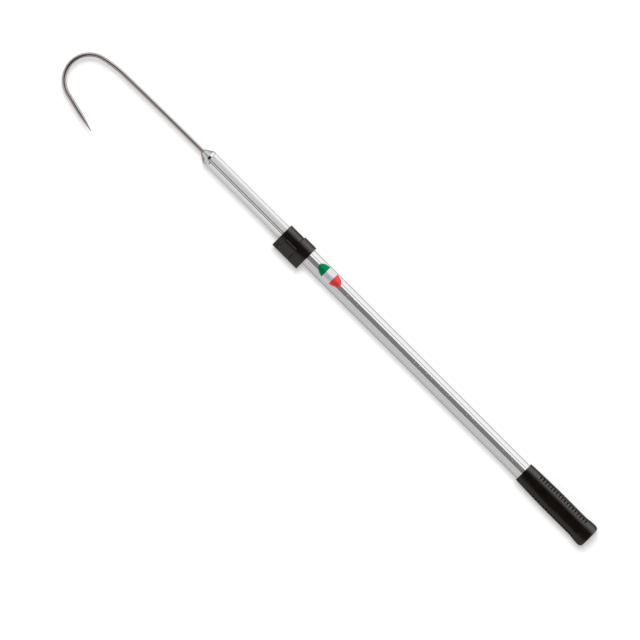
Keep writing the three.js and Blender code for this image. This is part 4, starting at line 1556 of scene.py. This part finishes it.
def ray_masks(tree):
    """One for the eye's rays, and one for those and all that are mirrored or let through."""
    path = add(tree, "ShaderNodeLightPath").outputs
    seen = Term(tree, path["Is Camera Ray"])
    mirrored = calc(tree, "MAXIMUM", seen, path["Is Glossy Ray"])
    return seen, calc(tree, "MAXIMUM", mirrored, path["Is Transmission Ray"])


def floor_paper(tone, glow):
    """White paper, seen through from below. The eye and the metal see its glow, which lights nothing."""
    material, tree, shader, _ = new_material("White paper")
    seen, shown = ray_masks(tree)
    dress(tree, shader, {
        "Base Color": (tone, tone, tone, 1),
        "Roughness": 1.0,
        "Specular IOR Level": 0.0,
        "Emission Color": (1, 1, 1, 1),
        "Emission Strength": shown * glow,
    })
    below = result(tree, "ShaderNodeNewGeometry", output="Backfacing")
    clear = result(tree, "ShaderNodeBsdfTransparent")
    mixed = result(tree, "ShaderNodeMixShader", {0: below * seen, 1: shader.outputs[0], 2: clear})
    feed(tree, mixed, tree.nodes["Material Output"].inputs["Surface"])
    return material


def card_tone(name, level, fading=None):
    """A studio card. Fading gives a middle station, two distances from it and the tone at the far one."""
    material, tree, shader, place = new_material(name)
    strength = level
    if fading:
        middle, start, end, end_level = fading
        strength = fade(tree, abs(split(tree, place)[0] - middle), start, end, level, end_level)
    dress(tree, shader, {
        "Base Color": (0, 0, 0, 1),
        "Specular IOR Level": 0.0,
        "Emission Color": (1, 1, 1, 1),
        "Emission Strength": strength,
    })
    return material


def build_cards(sizes, middle, floor_height):
    """Cards for the metal to reflect: dark over the object, grey on the lug's side, and two on the floor."""
    half = sizes.card_height * math.tan(sizes.card_half)
    end = sizes.card_height * math.tan(sizes.card_end)
    ceiling = level_plane("ceiling_card", (middle - end, -half), (middle + end, half), sizes.card_height)
    start = sizes.card_height * math.tan(sizes.card_middle)
    fading = (middle, start, end, sizes.card_end_level)
    ceiling.data.materials.append(card_tone("Dark card", sizes.card_level, fading))
    wall_front = middle + sizes.wall_front
    wall_corners = (
        (middle - end, 0), (wall_front, 0), (wall_front, sizes.card_height), (middle - end, sizes.card_height)
    )
    wall = plane("side_card", [(station, sizes.wall_reach, height) for station, height in wall_corners])
    wall.data.materials.append(card_tone("Grey card", sizes.wall_level))
    cards = [ceiling, wall]
    height = floor_height + sizes.floor_drop / 2
    strips = (
        ("lug_near", 0, sizes.near_reach, sizes.lug_near_level),
        ("lug_far", sizes.near_reach, sizes.wall_reach, sizes.lug_floor_level),
        ("open_near", 0, -sizes.near_reach, sizes.open_near_level),
        ("open_far", -sizes.near_reach, -sizes.wall_reach, sizes.open_floor_level),
    )
    for name, inner, outer, level in strips:
        card = level_plane(name + "_floor_card", (middle - end, inner), (middle + end, outer), height)
        card.data.materials.append(card_tone("Floor card " + name, level))
        cards.append(card)
    for card in cards:
        card.visible_camera = False
        card.visible_diffuse = False
        card.visible_shadow = False


def build_world(fill_level):
    """A white room to the eye and in reflections, which lights the object at the fill level."""
    world = bpy.data.worlds.new("White room")
    bpy.context.scene.world = world
    world.use_nodes = True
    tree = world.node_tree
    _, shown = ray_masks(tree)
    background = tree.nodes["Background"]
    feed(tree, (1, 1, 1, 1), background.inputs["Color"])
    feed(tree, shown * (1 - fill_level) + fill_level, background.inputs["Strength"])


def build_key(sizes):
    """A broad lamp from the picture's top, which lays the soft shadow below the object."""
    lamp = bpy.data.lights.new("Key", "SUN")
    lamp.energy = sizes.key_level
    lamp.angle = sizes.key_size
    key = bpy.data.objects.new("Key", lamp)
    bpy.context.scene.collection.objects.link(key)
    aside = Vector((1, -1, 0)).normalized() * math.sin(sizes.key_tilt)
    towards = aside + Vector((0, 0, math.cos(sizes.key_tilt)))
    key.rotation_euler = towards.to_track_quat("Z", "Y").to_euler()
    key.visible_glossy = False


def build_camera(sizes):
    camera = bpy.data.cameras.new("Camera")
    camera.lens = sizes.lens
    eye = bpy.data.objects.new("Camera", camera)
    bpy.context.scene.collection.objects.link(eye)
    distance = sizes.frame_width * sizes.lens / camera.sensor_width
    eye.location = (sizes.centre_x, sizes.centre_y, distance)
    eye.rotation_euler = (0, 0, sizes.camera_turn)
    bpy.context.scene.camera = eye


class GAFF_OT_build_stage(bpy.types.Operator):
    """Build the white floor, the studio cards, the light and the camera"""

    bl_idname = "gaff.build_stage"
    bl_label = "Stage"

    def execute(self, context):
        sizes = settings().stage
        low, high = cad_box
        middle = (low.x + high.x) / 2
        height = low.z - sizes.floor_drop
        reach = sizes.floor_half
        floor = level_plane("floor", (middle - reach, -reach), (middle + reach, reach), height)
        floor.data.materials.append(floor_paper(sizes.floor_tone, sizes.floor_glow))
        build_cards(sizes, middle, height)
        build_world(sizes.fill_level)
        build_key(sizes)
        build_camera(sizes)
        context.scene.view_settings.view_transform = "Standard"
        return {"FINISHED"}


class GAFF_PT_pieces(bpy.types.Panel):
    """The gaff's pieces and sizes in the sidebar"""

    bl_idname = "GAFF_PT_pieces"
    bl_label = "Fishing gaff"
    bl_space_type = "VIEW_3D"
    bl_region_type = "UI"
    bl_category = "Gaff"

    def draw(self, context):
        for operator in OPERATORS:
            self.layout.operator(operator.bl_idname)
        for part in GaffSettings.__annotations__:
            part_layout = self.layout.box()
            part_layout.label(text=part.capitalize())
            group = getattr(context.scene.gaff, part)
            for name in group.__annotations__:
                part_layout.prop(group, name)


GROUPS = (
    TubeSizes, GripSizes, ClampSizes, HookSizes, NoseSizes, StickerSizes, Finishes, StageSettings,
    GaffSettings,
)
OPERATORS = (
    GAFF_OT_build_stage,
    GAFF_OT_build_tubes,
    GAFF_OT_build_grip,
    GAFF_OT_build_clamp,
    GAFF_OT_build_lever,
    GAFF_OT_build_nose,
    GAFF_OT_build_hook,
    GAFF_OT_build_sticker,
    GAFF_OT_finish_inner_pieces,
)


def register():
    for item in (*GROUPS, *OPERATORS, GAFF_PT_pieces):
        bpy.utils.register_class(item)
    bpy.types.Scene.gaff = PointerProperty(type=GaffSettings)


def unregister():
    del bpy.types.Scene.gaff
    for item in reversed((*GROUPS, *OPERATORS, GAFF_PT_pieces)):
        bpy.utils.unregister_class(item)


def main():
    register()
    for operator in OPERATORS:
        group, name = operator.bl_idname.split(".")
        getattr(getattr(bpy.ops, group), name)()


if __name__ == "__main__":
    main()
